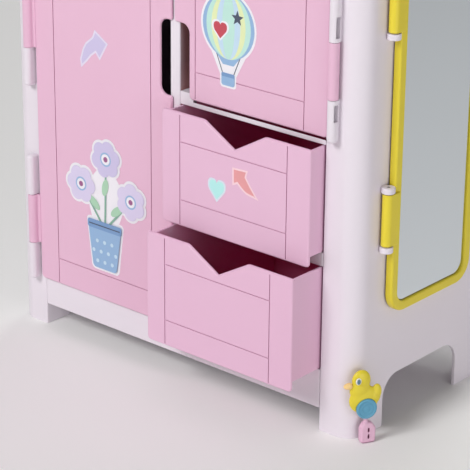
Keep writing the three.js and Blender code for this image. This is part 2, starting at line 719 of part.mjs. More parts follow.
/** The snap-on duck ornament, drawn facing -Y and then turned round the post's corner. */
function buildOrnament() {
  const group = new THREE.Group();
  group.position.set(outer - sideCornerRadius, frameSetBack + sideCornerRadius, 0);
  group.rotation.z = ornamentTurn;
  wardrobe.add(group);
  const back = -sideCornerRadius - ornamentStandOff;
  const face = back - duckThickness;
  const core = back - duckThickness / 2;

  const puff = ([x, z], halfLength, halfHeight) =>
    solid(new THREE.SphereGeometry(1, 24, 12).rotateX(Math.PI / 2)
      .scale(halfLength, duckThickness / 2, halfHeight).translate(x, core, z));
  const round = ([x, z], radius, y0, y1, sides = 16) =>
    solid(new THREE.CylinderGeometry(radius, radius, y1 - y0, sides).translate(x, (y0 + y1) / 2, z));

  const discBack = face + discThickness / 2;
  const discFace = discBack - discThickness;
  const discRoom = round(discCentre, discRadius + seat, face - overrun, discBack + seat, 24);
  const stemRoom = rod(stemAcross, core, footHeight, stemTop + seat, stemRadius + seat);
  const duck = join(puff(headCentre, headLength, headRadius), puff(neckCentre, neckLength, neckRadius),
    puff(bodyCentre, bodyLength, bodyRadius), puff(tailCentre, tailLength, tailRadius));
  piece('duck_body', yellow, cut(duck, discRoom, stemRoom), group);

  const beakRoot = neckCentre[0] - neckLength - seat;
  piece('duck_beak', orange, solid(
    new THREE.CylinderGeometry(beakTipRadius, beakRootRadius, beakLength, 12).rotateZ(Math.PI / 2)
      .translate(beakRoot - beakLength / 2, core, headCentre[1] - beakDrop)), group);

  const eye = [headCentre[0] + headLength * eyeAcrossShare, headCentre[1] + headRadius * eyeUpShare];
  const eyeFace = face - eyeSeat - eyeThickness;
  piece('duck_eye', vinyl, round(eye, eyeRadius, eyeFace, face - eyeSeat), group);
  piece('duck_pupil', dark,
    round(eye, pupilRadius, eyeFace - eyeSeat - eyeThickness, eyeFace - eyeSeat), group);

  const grooved = discGrooveShares.map((share) => cut(
    round(discCentre, discRadius * share, discFace - overrun, discFace + discGroove, 24),
    round(discCentre, discRadius * share - discGrooveWidth, discFace - 2 * overrun, discBack, 24)));
  piece('duck_disc', blue, cut(round(discCentre, discRadius, discFace, discBack, 24), ...grooved), group);

  const footBack = core + footThickness / 2;
  const footFace = footBack - footThickness;
  const footBlock = facing(outline(rectangle(footCentre - footWidth / 2, footCentre + footWidth / 2, 0,
    footHeight, footCorner)), footFace, footBack);
  const slots = [-1, 1].map((way) => {
    const z = footHeight / 2 + (way * (footSlotGap + footSlotHeight)) / 2;
    return block(footCentre - footSlotWidth / 2, footCentre + footSlotWidth / 2, footFace - overrun,
      core, z - footSlotHeight / 2, z + footSlotHeight / 2);
  });
  const stem = rod(stemAcross, core, footHeight - footCorner, stemTop, stemRadius);
  piece('duck_foot', pink, cut(join(footBlock, stem), ...slots), group);
  piece('duck_peg', white,
    round([0, bodyCentre[1]], pegRadius, back + seat, -sideCornerRadius - seat, 12), group);
}

/** Adds one sticker made of shapes drawn in X and Z, on a face at the given y. */
function sticker(name, shapes, face) {
  const layers = shapes.map((shape) =>
    facing(shape, face - stickerGap - stickerThickness, face - stickerGap, 3));
  piece(name, vinyl, join(...layers));
}

/** An outline from shares of a sticker's width and height, from its lower left corner. */
const fromShares = ({ width, height }, shares, left, bottom) =>
  outline(shares.map(([u, v]) => [left + u * width, bottom + v * height, stickerCorner]));

/** A heart, from its tip up. */
function heartShape({ width, height }, left, bottom) {
  const [x0, x1, x2] = [left, left + width / 2, left + width];
  const low = bottom;
  const { shoulder, dip, top } = Object.fromEntries(Object.entries(heartShares)
    .map(([name, share]) => [name, bottom + share * height]));
  const heart = new THREE.Shape();
  heart.moveTo(x1, low);
  heart.bezierCurveTo((x0 + x1) / 2, (low + shoulder) / 2, x0, (low + shoulder) / 2, x0, shoulder);
  heart.bezierCurveTo(x0, top, (x0 + x1) / 2, top, x1, dip);
  heart.bezierCurveTo((x1 + x2) / 2, top, x2, top, x2, shoulder);
  heart.bezierCurveTo(x2, (low + shoulder) / 2, (x1 + x2) / 2, (low + shoulder) / 2, x1, low);
  return heart;
}

/** The printed stickers, each with its true outline. */
function buildStickers() {
  const leftEdge = -doorGap;
  sticker('sticker_arrow_lilac', [fromShares(lilacArrow, lilacArrowShares,
    leftEdge - lilacArrow.across - lilacArrow.width, leftDoorBottom + lilacArrow.up)], 0);

  const potMiddle = leftEdge - flowerPot.middle;
  const potBottom = leftDoorBottom + flowerPot.up;
  const halfPot = flowerPot.width / 2;
  const halfFoot = flowerPot.footWidth / 2;
  const heads = flowerShares.map(([u, v]) =>
    [potMiddle + u * flowerPot.width, potBottom + v * flowerPot.height]);
  const pot = outline([
    [potMiddle - halfFoot, potBottom, flowerPot.corner],
    [potMiddle + halfFoot, potBottom, flowerPot.corner],
    [potMiddle + halfPot, potBottom + flowerPot.height, flowerPot.corner],
    [potMiddle - halfPot, potBottom + flowerPot.height, flowerPot.corner]]);
  const flowers = heads.map(([x, z]) => circle(x, z, flowerRadius));
  const stems = outline([[potMiddle - halfFoot, potBottom + stemStart],
    [potMiddle + halfFoot, potBottom + stemStart], heads[2], heads[1], heads[0]]);
  sticker('sticker_flowerpot', [pot, stems, ...flowers], 0);

  const middle = doorGap + balloon.middle;
  const low = rightDoorBottom + balloon.up;
  const centre = low + balloon.rise;
  const drop = centre - balloon.radius * balloonDropShare;
  const waist = balloon.radius * balloonWaistShare;
  const halfBasket = balloon.basket / 2;
  sticker('sticker_balloon', [
    circle(middle, centre, balloon.radius),
    outline([
      [middle - halfBasket, low + balloon.basketHeight], [middle + halfBasket, low + balloon.basketHeight],
      [middle + waist, drop], [middle - waist, drop]]),
    outline(rectangle(middle - halfBasket, middle + halfBasket, low,
      low + balloon.basketHeight + basketLap, balloon.corner)),
  ], 0);

  const face = -upperDrawerOut;
  sticker('sticker_heart_mint',
    [heartShape(mintHeart, mintHeart.across, upperDrawerBottom + mintHeart.up)], face);
  sticker('sticker_arrow_coral', [fromShares(coralArrow, coralArrowShares, coralArrow.across,
    upperDrawerBottom + coralArrow.up)], face);
}

buildFrame();
buildDoors();
buildDrawer('upper_drawer', upperDrawerBottom, upperDrawerOut);
buildDrawer('lower_drawer', lowerDrawerBottom, lowerDrawerOut);
buildInside();
buildMirror();
buildOrnament();
buildStickers();

const extent = new THREE.Box3().setFromObject(wardrobe, true);
const middle = extent.getCenter(new THREE.Vector3());
wardrobe.position.set(-middle.x, -middle.y, -extent.min.z);

export default wardrobe;
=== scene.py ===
"""Fine surfaces and finishes of a doll's wardrobe in moulded plastic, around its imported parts.

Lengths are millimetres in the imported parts' own frame and become metres when a piece is made.
The front faces -Y, +X is to the right and the wardrobe stands on z = 0.
"""
from __future__ import annotations

import json
import logging
import math
from collections.abc import Callable, Iterable, Sequence
from dataclasses import dataclass
from enum import Enum

import bmesh
import bpy
from mathutils import Color, Matrix, Vector

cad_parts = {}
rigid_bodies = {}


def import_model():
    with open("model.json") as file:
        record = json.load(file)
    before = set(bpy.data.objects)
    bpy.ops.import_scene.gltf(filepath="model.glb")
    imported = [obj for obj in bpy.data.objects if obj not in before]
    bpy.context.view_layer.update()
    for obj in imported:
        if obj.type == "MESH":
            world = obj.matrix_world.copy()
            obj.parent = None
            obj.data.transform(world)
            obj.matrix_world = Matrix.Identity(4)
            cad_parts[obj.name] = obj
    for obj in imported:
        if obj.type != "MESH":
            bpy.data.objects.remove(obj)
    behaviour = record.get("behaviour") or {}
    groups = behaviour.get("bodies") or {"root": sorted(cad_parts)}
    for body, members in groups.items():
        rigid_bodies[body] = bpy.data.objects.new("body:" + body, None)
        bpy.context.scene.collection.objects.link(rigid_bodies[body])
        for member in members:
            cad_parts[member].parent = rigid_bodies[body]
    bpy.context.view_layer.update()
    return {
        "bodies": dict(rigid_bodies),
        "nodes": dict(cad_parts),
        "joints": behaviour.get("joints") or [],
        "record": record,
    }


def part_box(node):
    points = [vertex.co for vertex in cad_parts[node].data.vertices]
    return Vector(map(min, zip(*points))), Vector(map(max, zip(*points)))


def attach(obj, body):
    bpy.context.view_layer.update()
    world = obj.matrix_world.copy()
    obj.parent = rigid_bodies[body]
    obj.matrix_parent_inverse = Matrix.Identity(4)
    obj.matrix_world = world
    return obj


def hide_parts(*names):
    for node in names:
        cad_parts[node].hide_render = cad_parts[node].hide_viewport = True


LOG = logging.getLogger("wardrobe")
MM = 0.001
SAME_PLACE = 0.01
ROOM = 1.0  # past what a tool cuts, and round a place that is looked for
SHALLOW, SHARP, SQUARE = 30.0, 40.0, 60.0  # least angles of an edge, in degrees
SQUARELY = 0.99  # least part of a face's normal that lies along an axis, where the face looks along it
GROOVE_WIDTH, GROOVE_DEPTH = 0.9, 0.8
FRAME_BODY = "cabinet"
SIDES = ((-1, "left"), (1, "right"))
HANDLE_WIDTHS = {"left": 13.4, "right": 17.1}  # how far the handle openings reach into the doors
# print holds the stickers' printed colours; inside marks the faces that take painted shade inside a hollow
PRINT, SHADED_INSIDE = "print", "inside"

Solid = bmesh.types.BMesh
Socket = bpy.types.NodeSocket
Sockets = bpy.types.bpy_prop_collection
Tree = bpy.types.NodeTree
Corner = tuple[float, float, float]
Pair = tuple[float, float]


class Along(Enum):
    """Direction that a section is drawn out in, after the two axes that it is drawn in."""

    X = (1, 2, 0)
    Y = (0, 2, 1)
    Z = (0, 1, 2)


class Join(Enum):
    """How one solid meets another."""

    CARVE = "DIFFERENCE"
    WELD = "UNION"


@dataclass(frozen=True)
class Span:
    """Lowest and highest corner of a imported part, in millimetres."""

    low: Vector
    high: Vector

    @classmethod
    def of(cls, node: str) -> Span:
        """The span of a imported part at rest."""
        low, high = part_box(node)
        return cls(Vector(low) / MM, Vector(high) / MM)

    @property
    def middle(self) -> Vector:
        """The middle of the span."""
        return (self.low + self.high) / 2

    @property
    def size(self) -> Vector:
        """The three lengths of the span."""
        return self.high - self.low


def joint_axis(frame: dict, name: str) -> Vector:
    """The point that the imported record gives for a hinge, in millimetres."""
    found = next(joint for joint in frame["joints"] if joint["name"] == name)
    return Vector(found["pos_m"]) / MM


def linear(colour: str) -> tuple[float, float, float, float]:
    """Turns a colour such as e6b9d2 into the linear values that shaders take."""
    shown = Color(tuple(value / 255 for value in bytes.fromhex(colour)))
    return (*shown.from_srgb_to_scene_linear(), 1.0)


def reach(corners: Sequence[Corner], index: int) -> float:
    """How far along its edges a rounded corner starts.

    Args:
        corners: All corners of the outline.
        index: Which corner is meant.

    Returns:
        The distance from the corner to where its arc starts.
    """
    u, v, radius = corners[index]
    here = Vector((u, v))
    before = (Vector(corners[index - 1][:2]) - here).normalized()
    after = (Vector(corners[(index + 1) % len(corners)][:2]) - here).normalized()
    return radius / math.tan(before.angle(after) / 2)


def section(corners: Sequence[Corner], along: Along, level: float, arc_steps: int = 8) -> Solid:
    """A flat face with rounded corners.

    Args:
        corners: Two places in the section's plane and a radius, for each corner.
        along: The direction square to the section.
        level: Where the section lies in that direction.
        arc_steps: Steps in each rounded corner.

    Returns:
        A mesh with the one face.
    """
    bm = bmesh.new()
    verts = []
    for u, v, _ in corners:
        place = Vector()
        for axis, value in zip(along.value, (u, v, level)):
            place[axis] = value
        verts.append(bm.verts.new(place))
    bm.faces.new(verts)
    for index, (_, _, radius) in enumerate(corners):
        if radius:
            bmesh.ops.bevel(bm, geom=[verts[index]], offset=reach(corners, index), offset_type="OFFSET",
                            affect="VERTICES", segments=arc_steps, profile=0.5, material=-1)
    bm.normal_update()
    return bm


def soften(bm: Solid, edges: Iterable[bmesh.types.BMEdge], size: float, steps: int = 3,
           is_limited: bool = False) -> None:
    """Rounds edges of a solid, each one by a size, or by less where it is limited to what fits."""
    bmesh.ops.bevel(bm, geom=list(edges), offset=size, offset_type="OFFSET", affect="EDGES",
                    segments=steps, profile=0.5, material=-1, clamp_overlap=is_limited)


def sharp_edges(bm: Solid, degrees: float,
                is_meant: Callable[[Vector], bool] = lambda place: True) -> list[bmesh.types.BMEdge]:
    """The edges over an angle whose two ends both pass a test of their place."""
    return [edge for edge in bm.edges if edge.calc_face_angle(0) > math.radians(degrees)
            and all(is_meant(vert.co) for vert in edge.verts)]


def pull_out(bm: Solid, faces: Iterable[bmesh.types.BMFace], move: Sequence[float]) -> None:
    """Extrudes faces by a move."""
    grown = bmesh.ops.extrude_face_region(bm, geom=list(faces))["geom"]
    bmesh.ops.translate(bm, verts=[part for part in grown if isinstance(part, bmesh.types.BMVert)], vec=move)


def push_in(bm: Solid, faces: Sequence[bmesh.types.BMFace], move: Sequence[float]) -> None:
    """Extrudes faces of a solid by a move and drops those that stay behind."""
    pull_out(bm, faces, move)
    bmesh.ops.delete(bm, geom=[face for face in faces if face.is_valid], context="FACES_ONLY")


def drawn_out(bm: Solid, along: Along, low: float, high: float, low_edge: float = 0.0,
              high_edge: float = 0.0, steps: int = 3) -> Solid:
    """Draws flat faces out into a solid and rounds its end edges.

    Args:
        bm: The flat faces, at the low level.
        along: The direction to draw them out in.
        low: The level of the flat faces.
        high: The level of the other end.
        low_edge: Radius of the edges at the low end.
        high_edge: Radius of the edges at the high end.
        steps: Steps in each rounded edge.

    Returns:
        The same mesh.
    """
    third = along.value[2]
    move = Vector()
    move[third] = high - low
    pull_out(bm, bm.faces, move)
    for level, size in ((low, low_edge), (high, high_edge)):
        if size:
            rim = sharp_edges(bm, SHALLOW, lambda place: abs(place[third] - level) < SAME_PLACE)
            soften(bm, rim, size, steps)
    bmesh.ops.recalc_face_normals(bm, faces=bm.faces)
    return bm


def prism(corners: Sequence[Corner], along: Along, low: float, high: float, low_edge: float = 0.0,
          high_edge: float = 0.0, arc_steps: int = 8, steps: int = 3) -> Solid:
    """A section with rounded corners, drawn out into a solid. See section and drawn_out."""
    return drawn_out(section(corners, along, low, arc_steps), along, low, high, low_edge, high_edge, steps)


def ring(corners: Sequence[Corner], width: float, along: Along, low: float, high: float,
         high_edge: float = 0.0) -> Solid:
    """A wall of one width that follows the inside of an outline.

    Args:
        corners: The outline, as for section.
        width: The wall's width.
        along: The direction that it rises in.
        low: The level of its foot.
        high: The level of its rim.
        high_edge: Radius of the rim's edges.

    Returns:
        The wall.
    """
    bm = section(corners, along, low)
    inner = list(bm.faces)
    bmesh.ops.inset_region(bm, faces=inner, thickness=width, use_even_offset=True, use_boundary=True)
    bmesh.ops.delete(bm, geom=inner, context="FACES_ONLY")
    return drawn_out(bm, along, low, high, high_edge=high_edge)


def rectangle(u0: float, u1: float, v0: float, v1: float, radius: float = 0.0) -> list[Corner]:
    """Corners of a rectangle that share one radius."""
    return [(u0, v0, radius), (u1, v0, radius), (u1, v1, radius), (u0, v1, radius)]


def block(low: Sequence[float], high: Sequence[float], edge: float = 0.0) -> Solid:
    """A box between two corners, with its edges rounded to a radius.

    Args:
        low: Its lowest corner.
        high: Its highest corner.
        edge: The radius of its edges.

    Returns:
        The box.
    """
    bm = bmesh.new()
    bmesh.ops.create_cube(bm, size=1.0)
    bmesh.ops.scale(bm, vec=Vector(high) - Vector(low), verts=bm.verts)
    bmesh.ops.translate(bm, vec=(Vector(high) + Vector(low)) / 2, verts=bm.verts)
    if edge:
        soften(bm, bm.edges, edge)
    return bm


def lathe(profile: Sequence[Pair], centre: Sequence[float], along: Along, turns: int = 40,
          is_tube: bool = False) -> Solid:
    """A turned solid.

    Args:
        profile: Radius and level of each point; a solid's first and last lie on the axis.
        centre: A point on the axis that levels count from.
        along: The direction of the axis.
        turns: Steps round the axis.
        is_tube: Whether the profile closes on itself.

    Returns:
        The solid as a mesh.
    """
    bm = bmesh.new()
    verts = [bm.verts.new((radius, 0.0, level)) for radius, level in profile]
    edges = [bm.edges.new(pair) for pair in zip(verts, verts[1:])]
    if is_tube:
        edges.append(bm.edges.new((verts[-1], verts[0])))
    bmesh.ops.spin(bm, geom=verts + edges, cent=(0, 0, 0), axis=(0, 0, 1), angle=2 * math.pi,
                   steps=turns, use_merge=True)
    bmesh.ops.remove_doubles(bm, verts=bm.verts, dist=SAME_PLACE / 10)
    lying = {Along.X: Matrix.Rotation(math.pi / 2, 4, "Y"), Along.Y: Matrix.Rotation(-math.pi / 2, 4, "X"),
             Along.Z: Matrix.Identity(4)}[along]
    bmesh.ops.transform(bm, matrix=Matrix.Translation(centre) @ lying, verts=bm.verts)
    bmesh.ops.recalc_face_normals(bm, faces=bm.faces)
    return bm


def rod(radius: float, half: float, tip: float, centre: Sequence[float], along: Along,
        turns: int = 40) -> Solid:
    """A round bar of half a length each way from its centre, with its two ends bevelled by a tip."""
    return lathe([(0, -half), (radius - tip, -half), (radius, tip - half), (radius, half - tip),
                  (radius - tip, half), (0, half)], centre, along, turns)


def drum(radius: float, low: float, high: float, centre: Sequence[float], along: Along,
         turns: int = 40, bore: float = 0.0) -> Solid:
    """A cylinder between two levels of its axis, or a tube where it has a bore."""
    profile = [(bore, low), (radius, low), (radius, high), (bore, high)]
    return lathe(profile, centre, along, turns, is_tube=bore > 0)


def widened(profile: Sequence[Pair], radius: float) -> list[Pair]:
    """A turned profile in millimetres, from one whose radii are shares of a radius."""
    return [(radius * share, level) for share, level in profile]


def absorb(bm: Solid, *others: Solid) -> Solid:
    """Adds other meshes to one, and frees them.

    Args:
        bm: The mesh that grows.
        others: The meshes to add.

    Returns:
        The mesh that has grown.
    """
    for other in others:
        passing = bpy.data.meshes.new("passing")
        other.to_mesh(passing)
        other.free()
        bm.from_mesh(passing)
        bpy.data.meshes.remove(passing)
    return bm


def placed(bm: Solid, name: str) -> bpy.types.Object:
    """Puts a mesh into the scene as an object.

    Args:
        bm: The mesh, which is freed.
        name: The object's name.

    Returns:
        The object.
    """
    mesh = bpy.data.meshes.new(name)
    bm.to_mesh(mesh)
    bm.free()
    thing = bpy.data.objects.new(name, mesh)
    bpy.context.scene.collection.objects.link(thing)
    return thing


def modified(thing: bpy.types.Object, *helpers: bpy.types.Object) -> Solid:
    """Takes the mesh that an object's modifiers give.

    Args:
        thing: The object, which is removed.
        helpers: Objects that its modifiers use, which are removed too.

    Returns:
        The mesh.
    """
    bpy.context.view_layer.update()
    made = bpy.data.meshes.new_from_object(thing.evaluated_get(bpy.context.evaluated_depsgraph_get()))
    result = bmesh.new()
    result.from_mesh(made)
    for mesh in [made, thing.data] + [helper.data for helper in helpers]:
        bpy.data.meshes.remove(mesh)
    return result


def joined(base: Solid, tool: Solid, how: Join) -> Solid:
    """Carves one solid with another or welds them, and frees both.

    Args:
        base: The solid to change.
        tool: The solid that cuts it or is added.
        how: Which of the two.

    Returns:
        The new solid.
    """
    changed, helper = placed(base, "base"), placed(tool, "tool")
    change = changed.modifiers.new("join", "BOOLEAN")
    change.operation = how.value
    change.solver = "EXACT"
    change.object = helper
    return modified(changed, helper)


def copy_of(node: str, frame: dict, edge: float) -> Solid:
    """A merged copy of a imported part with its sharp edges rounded.

    Args:
        node: The part's name.
        frame: The loaded frame.
        edge: Radius of the edges.

    Returns:
        The copy, in millimetres.
    """
    bm = bmesh.new()
    bm.from_mesh(frame["nodes"][node].data)
    bmesh.ops.scale(bm, vec=(1 / MM,) * 3, verts=bm.verts)
    bmesh.ops.remove_doubles(bm, verts=bm.verts, dist=SAME_PLACE)
    bmesh.ops.dissolve_limit(bm, angle_limit=math.radians(1), verts=bm.verts, edges=bm.edges)
    soften(bm, sharp_edges(bm, SHARP), edge, steps=2, is_limited=True)
    return bm


def mark_shaded_inside(bm: Solid, low: Sequence[float], high: Sequence[float]) -> None:
    """Marks the faces whose middles lie between two corners as the inside of a hollow, which takes painted
    shade.

    Args:
        bm: The mesh to mark.
        low: The lowest corner.
        high: The highest corner.
    """
    layer = bm.loops.layers.float_color.new(SHADED_INSIDE)
    for face in bm.faces:
        bounds = zip(low, face.calc_center_bounds(), high)
        is_inside = all(least - SAME_PLACE < middle < most + SAME_PLACE for least, middle, most in bounds)
        for loop in face.loops:
            loop[layer] = (float(is_inside),) * 3 + (1.0,)


def groove_front(bm: Solid, face: float, uprights: Sequence[float], levels: Sequence[float]) -> None:
    """Sinks fine grooves into the front of a panel that faces -Y.

    Args:
        bm: The panel.
        face: The y of its front.
        uprights: The x of each groove that runs from bottom to top.
        levels: The z of each groove that runs between the first and the last upright.
    """
    def front() -> list[bmesh.types.BMFace]:
        """The faces that still lie in the front."""
        return [f for f in bm.faces
                if is_facing(f, 1, -1) and abs(f.calc_center_median().y - face) < SAME_PLACE]

    half = GROOVE_WIDTH / 2
    cuts = [((x + way * half, 0, 0), (1, 0, 0)) for x in uprights for way in (-1, 1)]
    cuts += [((0, 0, z + way * half), (0, 0, 1)) for z in levels for way in (-1, 1)]
    for place, normal in cuts:
        faces = front()
        rims = {edge for f in faces for edge in f.edges}
        points = {vert for f in faces for vert in f.verts}
        bmesh.ops.bisect_plane(bm, geom=faces + list(rims) + list(points), dist=SAME_PLACE / 10,
                               plane_co=place, plane_no=normal)
    bm.normal_update()
    sunk = []
    for f in front():
        x, _, z = f.calc_center_bounds()
        on_upright = any(abs(x - line) < half for line in uprights)
        on_level = min(uprights) < x < max(uprights) and any(abs(z - line) < half for line in levels)
        if on_upright or on_level:
            sunk.append(f)
    push_in(bm, sunk, (0, GROOVE_DEPTH, 0))


def is_facing(face: bmesh.types.BMFace, axis: int, way: int) -> bool:
    """Whether a face looks squarely along an axis, in one way of it."""
    return face.normal[axis] * way > SQUARELY


def wired(tree: Tree, kind: str, inputs: dict[str | int, float | Sequence[float] | Socket],
          **settings: object) -> bpy.types.Node:
    """Adds a shader node.

    Args:
        tree: The nodes that it joins.
        kind: The type of node.
        inputs: A value to set or a socket to link, for each input.
        settings: The node's other properties, which are set first.

    Returns:
        The node.
    """
    node = tree.nodes.new(kind)
    for name, value in settings.items():
        setattr(node, name, value)
    for name, value in inputs.items():
        if isinstance(value, Socket):
            tree.links.new(value, node.inputs[name])
        else:
            node.inputs[name].default_value = value
    return node


class ShaderGroup:
    """A node group while it is built: an effect that several finishes share."""

    def __init__(self, name: str, inputs: dict[str, float | None], outputs: dict[str, float | None]) -> None:
        """Makes the group with its sockets.

        Args:
            name: The group's name.
            inputs: Each input's first value, or None where it is a colour.
            outputs: The same for each output.
        """
        self.tree = bpy.data.node_groups.new(name, "ShaderNodeTree")
        for way, sockets in (("INPUT", inputs), ("OUTPUT", outputs)):
            for socket, value in sockets.items():
                kind = "NodeSocketColor" if value is None else "NodeSocketFloat"
                made = self.tree.interface.new_socket(name=socket, in_out=way, socket_type=kind)
                if value is not None:
                    made.default_value = value
        self.given = self.tree.nodes.new("NodeGroupInput").outputs
        self.out = self.tree.nodes.new("NodeGroupOutput").inputs

    def noise(self, scale: float, detail: float, stretch: Sequence[float] = (1, 1, 1),
              shift: Sequence[float] = (0, 0, 0)) -> Socket:
        """Adds a noise on Object coordinates.

        Args:
            scale: How fine it is.
            detail: How many finer layers it has.
            stretch: Its scale along each axis.
            shift: Its place, which keeps it apart from the other noises.

        Returns:
            Its value socket.
        """
        place = wired(self.tree, "ShaderNodeTexCoord", {}).outputs["Object"]
        mapped = wired(self.tree, "ShaderNodeMapping", {"Vector": place, "Scale": stretch, "Location": shift})
        return wired(self.tree, "ShaderNodeTexNoise", {
            "Vector": mapped.outputs["Vector"], "Scale": scale, "Detail": detail}).outputs["Fac"]

    def math(self, operation: str, first: Socket | float, second: Socket | float,
             is_clamped: bool = False) -> Socket:
        """Adds an operation on two values and gives its socket."""
        return wired(self.tree, "ShaderNodeMath", {0: first, 1: second}, operation=operation,
                     use_clamp=is_clamped).outputs["Value"]

    def plus(self, first: Socket | float, second: Socket | float) -> Socket:
        """Adds two values and gives their sum's socket."""
        return self.math("ADD", first, second)

    def times(self, first: Socket | float, second: Socket | float) -> Socket:
        """Multiplies two values and gives the product's socket."""
        return self.math("MULTIPLY", first, second)

    def mix(self, share: Socket, first: Socket, second: Socket) -> Socket:
        """Mixes two colours and gives the result's socket."""
        return wired(self.tree, "ShaderNodeMix", {"Factor": share, "A": first, "B": second},
                     data_type="RGBA", blend_type="MIX").outputs["Result"]

    def finish(self, **results: Socket) -> Tree:
        """Links the results to the group's outputs and gives its nodes."""
        for name, socket in results.items():
            self.tree.links.new(socket, self.out[name])
        return self.tree


class SharedEffects:
    """Effects that several finishes share, each built once as a node group."""

    def __init__(self) -> None:
        """Builds every group."""
        self.tone_drift = self._tone_drift()
        # painted shade in creases and hollows
        self.painted_hollow_shade = self._painted_hollow_shade()
        self.moulded_grain = self._moulded_grain()

    @staticmethod
    def _tone_drift() -> Tree:
        """Flow marks of the moulding: the colour drifts slowly between two tones.

        Returns:
            The group's nodes.
        """
        group = ShaderGroup(
            "tone drift", {"Colour": None, "Drift Colour": None, "Amount": 0.5}, {"Colour": None})
        slow = group.noise(scale=9.0, detail=2.0, stretch=(1.0, 1.0, 0.45))
        fine = group.noise(scale=160.0, detail=3.0, shift=(3.0, 1.0, 2.0))
        share = group.times(group.plus(group.times(slow, 0.8), group.times(fine, 0.2)), group.given["Amount"])
        return group.finish(Colour=group.mix(share, group.given["Colour"], group.given["Drift Colour"]))

    @staticmethod
    def _painted_hollow_shade() -> Tree:
        """Painted shade: the colour deepens towards a shade colour down in a hollow. This stands in for the
        hollow's shade and for the coloured light that bounces between its walls.

        Returns:
            The group's nodes.
        """
        group = ShaderGroup(
            "painted hollow shade", {"Colour": None, "Shade Colour": None, "Openness": 1.0, "Starts At": 0.48,
                            "Full Over": 0.3, "Amount": 1.0}, {"Colour": None})
        given = group.given
        closed = group.math("SUBTRACT", given["Starts At"], given["Openness"])
        depth = group.math("DIVIDE", closed, given["Full Over"], is_clamped=True)
        return group.finish(Colour=group.mix(group.times(depth, given["Amount"]), given["Colour"],
                                             given["Shade Colour"]))

    @staticmethod
    def _moulded_grain() -> Tree:
        """Satin skin of a moulding: slight waviness, fine grain and faint handling marks.

        Returns:
            The group's nodes.
        """
        group = ShaderGroup("moulded grain", {"Roughness": 0.4, "Marks": 0.1, "Wave": 1.0},
                            {"Roughness": 0.0, "Height": 0.0})
        wave = group.noise(scale=26.0, detail=1.0)
        grain = group.noise(scale=1400.0, detail=2.0)
        scratches = group.noise(scale=130.0, detail=4.0, stretch=(1.0, 1.0, 9.0), shift=(7.0, 2.0, 5.0))
        smudges = group.noise(scale=34.0, detail=4.0, shift=(2.0, 9.0, 4.0))
        marks = group.times(group.math("POWER", scratches, 3.0), group.given["Marks"])
        smears = group.times(group.math("SUBTRACT", smudges, 0.5), group.given["Marks"])
        return group.finish(
            Roughness=group.plus(group.given["Roughness"], group.plus(marks, smears)),
            Height=group.plus(group.times(wave, group.given["Wave"]), group.times(grain, 0.02)))


def new_material(name: str) -> tuple[bpy.types.Material, Tree, Sockets]:
    """Makes a material with its Principled BSDF.

    Args:
        name: The material's name.

    Returns:
        The material, its node tree and the shader's inputs.
    """
    material = bpy.data.materials.new(name)
    material.use_nodes = True
    return material, material.node_tree, material.node_tree.nodes["Principled BSDF"].inputs


@dataclass(frozen=True)
class HollowShade:
    """Painted shade: a deeper tone of a plastic where other surfaces close it in.

    Attributes:
        tone: The colour of the painted shade.
        reach_mm: How near the other surfaces have to be.
        starts_at: The openness at which the painted shade starts.
        full_over: The fall of openness over which it becomes full.
        samples: How many rays look for the other surfaces.
    """

    tone: str
    reach_mm: float
    starts_at: float
    full_over: float
    samples: int = 12

    def with_painted_shade(self, tree: Tree, effects: SharedEffects, colour: Socket, amount: float | Socket) -> Socket:
        """Paints shade into a colour.

        Args:
            tree: The material's nodes.
            effects: The shared groups.
            colour: The colour so far.
            amount: How far it goes towards the shade colour.

        Returns:
            The new colour's socket.
        """
        around = wired(tree, "ShaderNodeAmbientOcclusion", {"Distance": self.reach_mm * MM},
                       samples=self.samples)
        return wired(tree, "ShaderNodeGroup", {
            "Colour": colour, "Shade Colour": linear(self.tone), "Openness": around.outputs["AO"],
            "Starts At": self.starts_at, "Full Over": self.full_over, "Amount": amount},
            node_tree=effects.painted_hollow_shade).outputs["Colour"]


def crease_shade(tone: str) -> HollowShade:
    """Painted shade in grooves, corners and narrow gaps."""
    return HollowShade(tone, reach_mm=8.0, starts_at=0.48, full_over=0.3)


def inside(tone: str, reach_mm: float) -> HollowShade:
    """Painted shade on the faces that are marked as the inside of a hollow."""
    return HollowShade(tone, reach_mm, starts_at=0.42, full_over=0.24)


@dataclass(frozen=True)
class Finish:
    """What every finish has: its name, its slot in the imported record, its colours and its skin."""

    name: str
    slot: str
    colour: str = ""
    drift: str = "ffffff"
    drift_amount: float = 1.0
    roughness: float = 0.42
    marks: float = 0.12
    wave: float = 1.0

    def _base(self, tree: Tree) -> Sequence[float] | Socket:
        """The colour before it drifts."""
        return linear(self.colour)

    def _skin(self, tree: Tree, effects: SharedEffects, shader: Sockets, colour: Socket,
              height: Socket) -> Socket:
        """Adds what only this finish has.

        Args:
            tree: The material's nodes.
            effects: The shared groups.
            shader: The shader's inputs.
            colour: The colour so far.
            height: The height of the grain.

        Returns:
            The final colour's socket.
        """
        return colour

    def build(self, effects: SharedEffects) -> bpy.types.Material:
        """Makes the material.

        Args:
            effects: The shared groups.

        Returns:
            The material.
        """
        material, tree, shader = new_material(self.name)
        colour = wired(tree, "ShaderNodeGroup", {
            "Colour": self._base(tree), "Drift Colour": linear(self.drift), "Amount": self.drift_amount},
            node_tree=effects.tone_drift).outputs["Colour"]
        grain = wired(tree, "ShaderNodeGroup", {
            "Roughness": self.roughness, "Marks": self.marks, "Wave": self.wave},
            node_tree=effects.moulded_grain).outputs
        tree.links.new(grain["Roughness"], shader["Roughness"])
        tree.links.new(self._skin(tree, effects, shader, colour, grain["Height"]), shader["Base Color"])
        return material


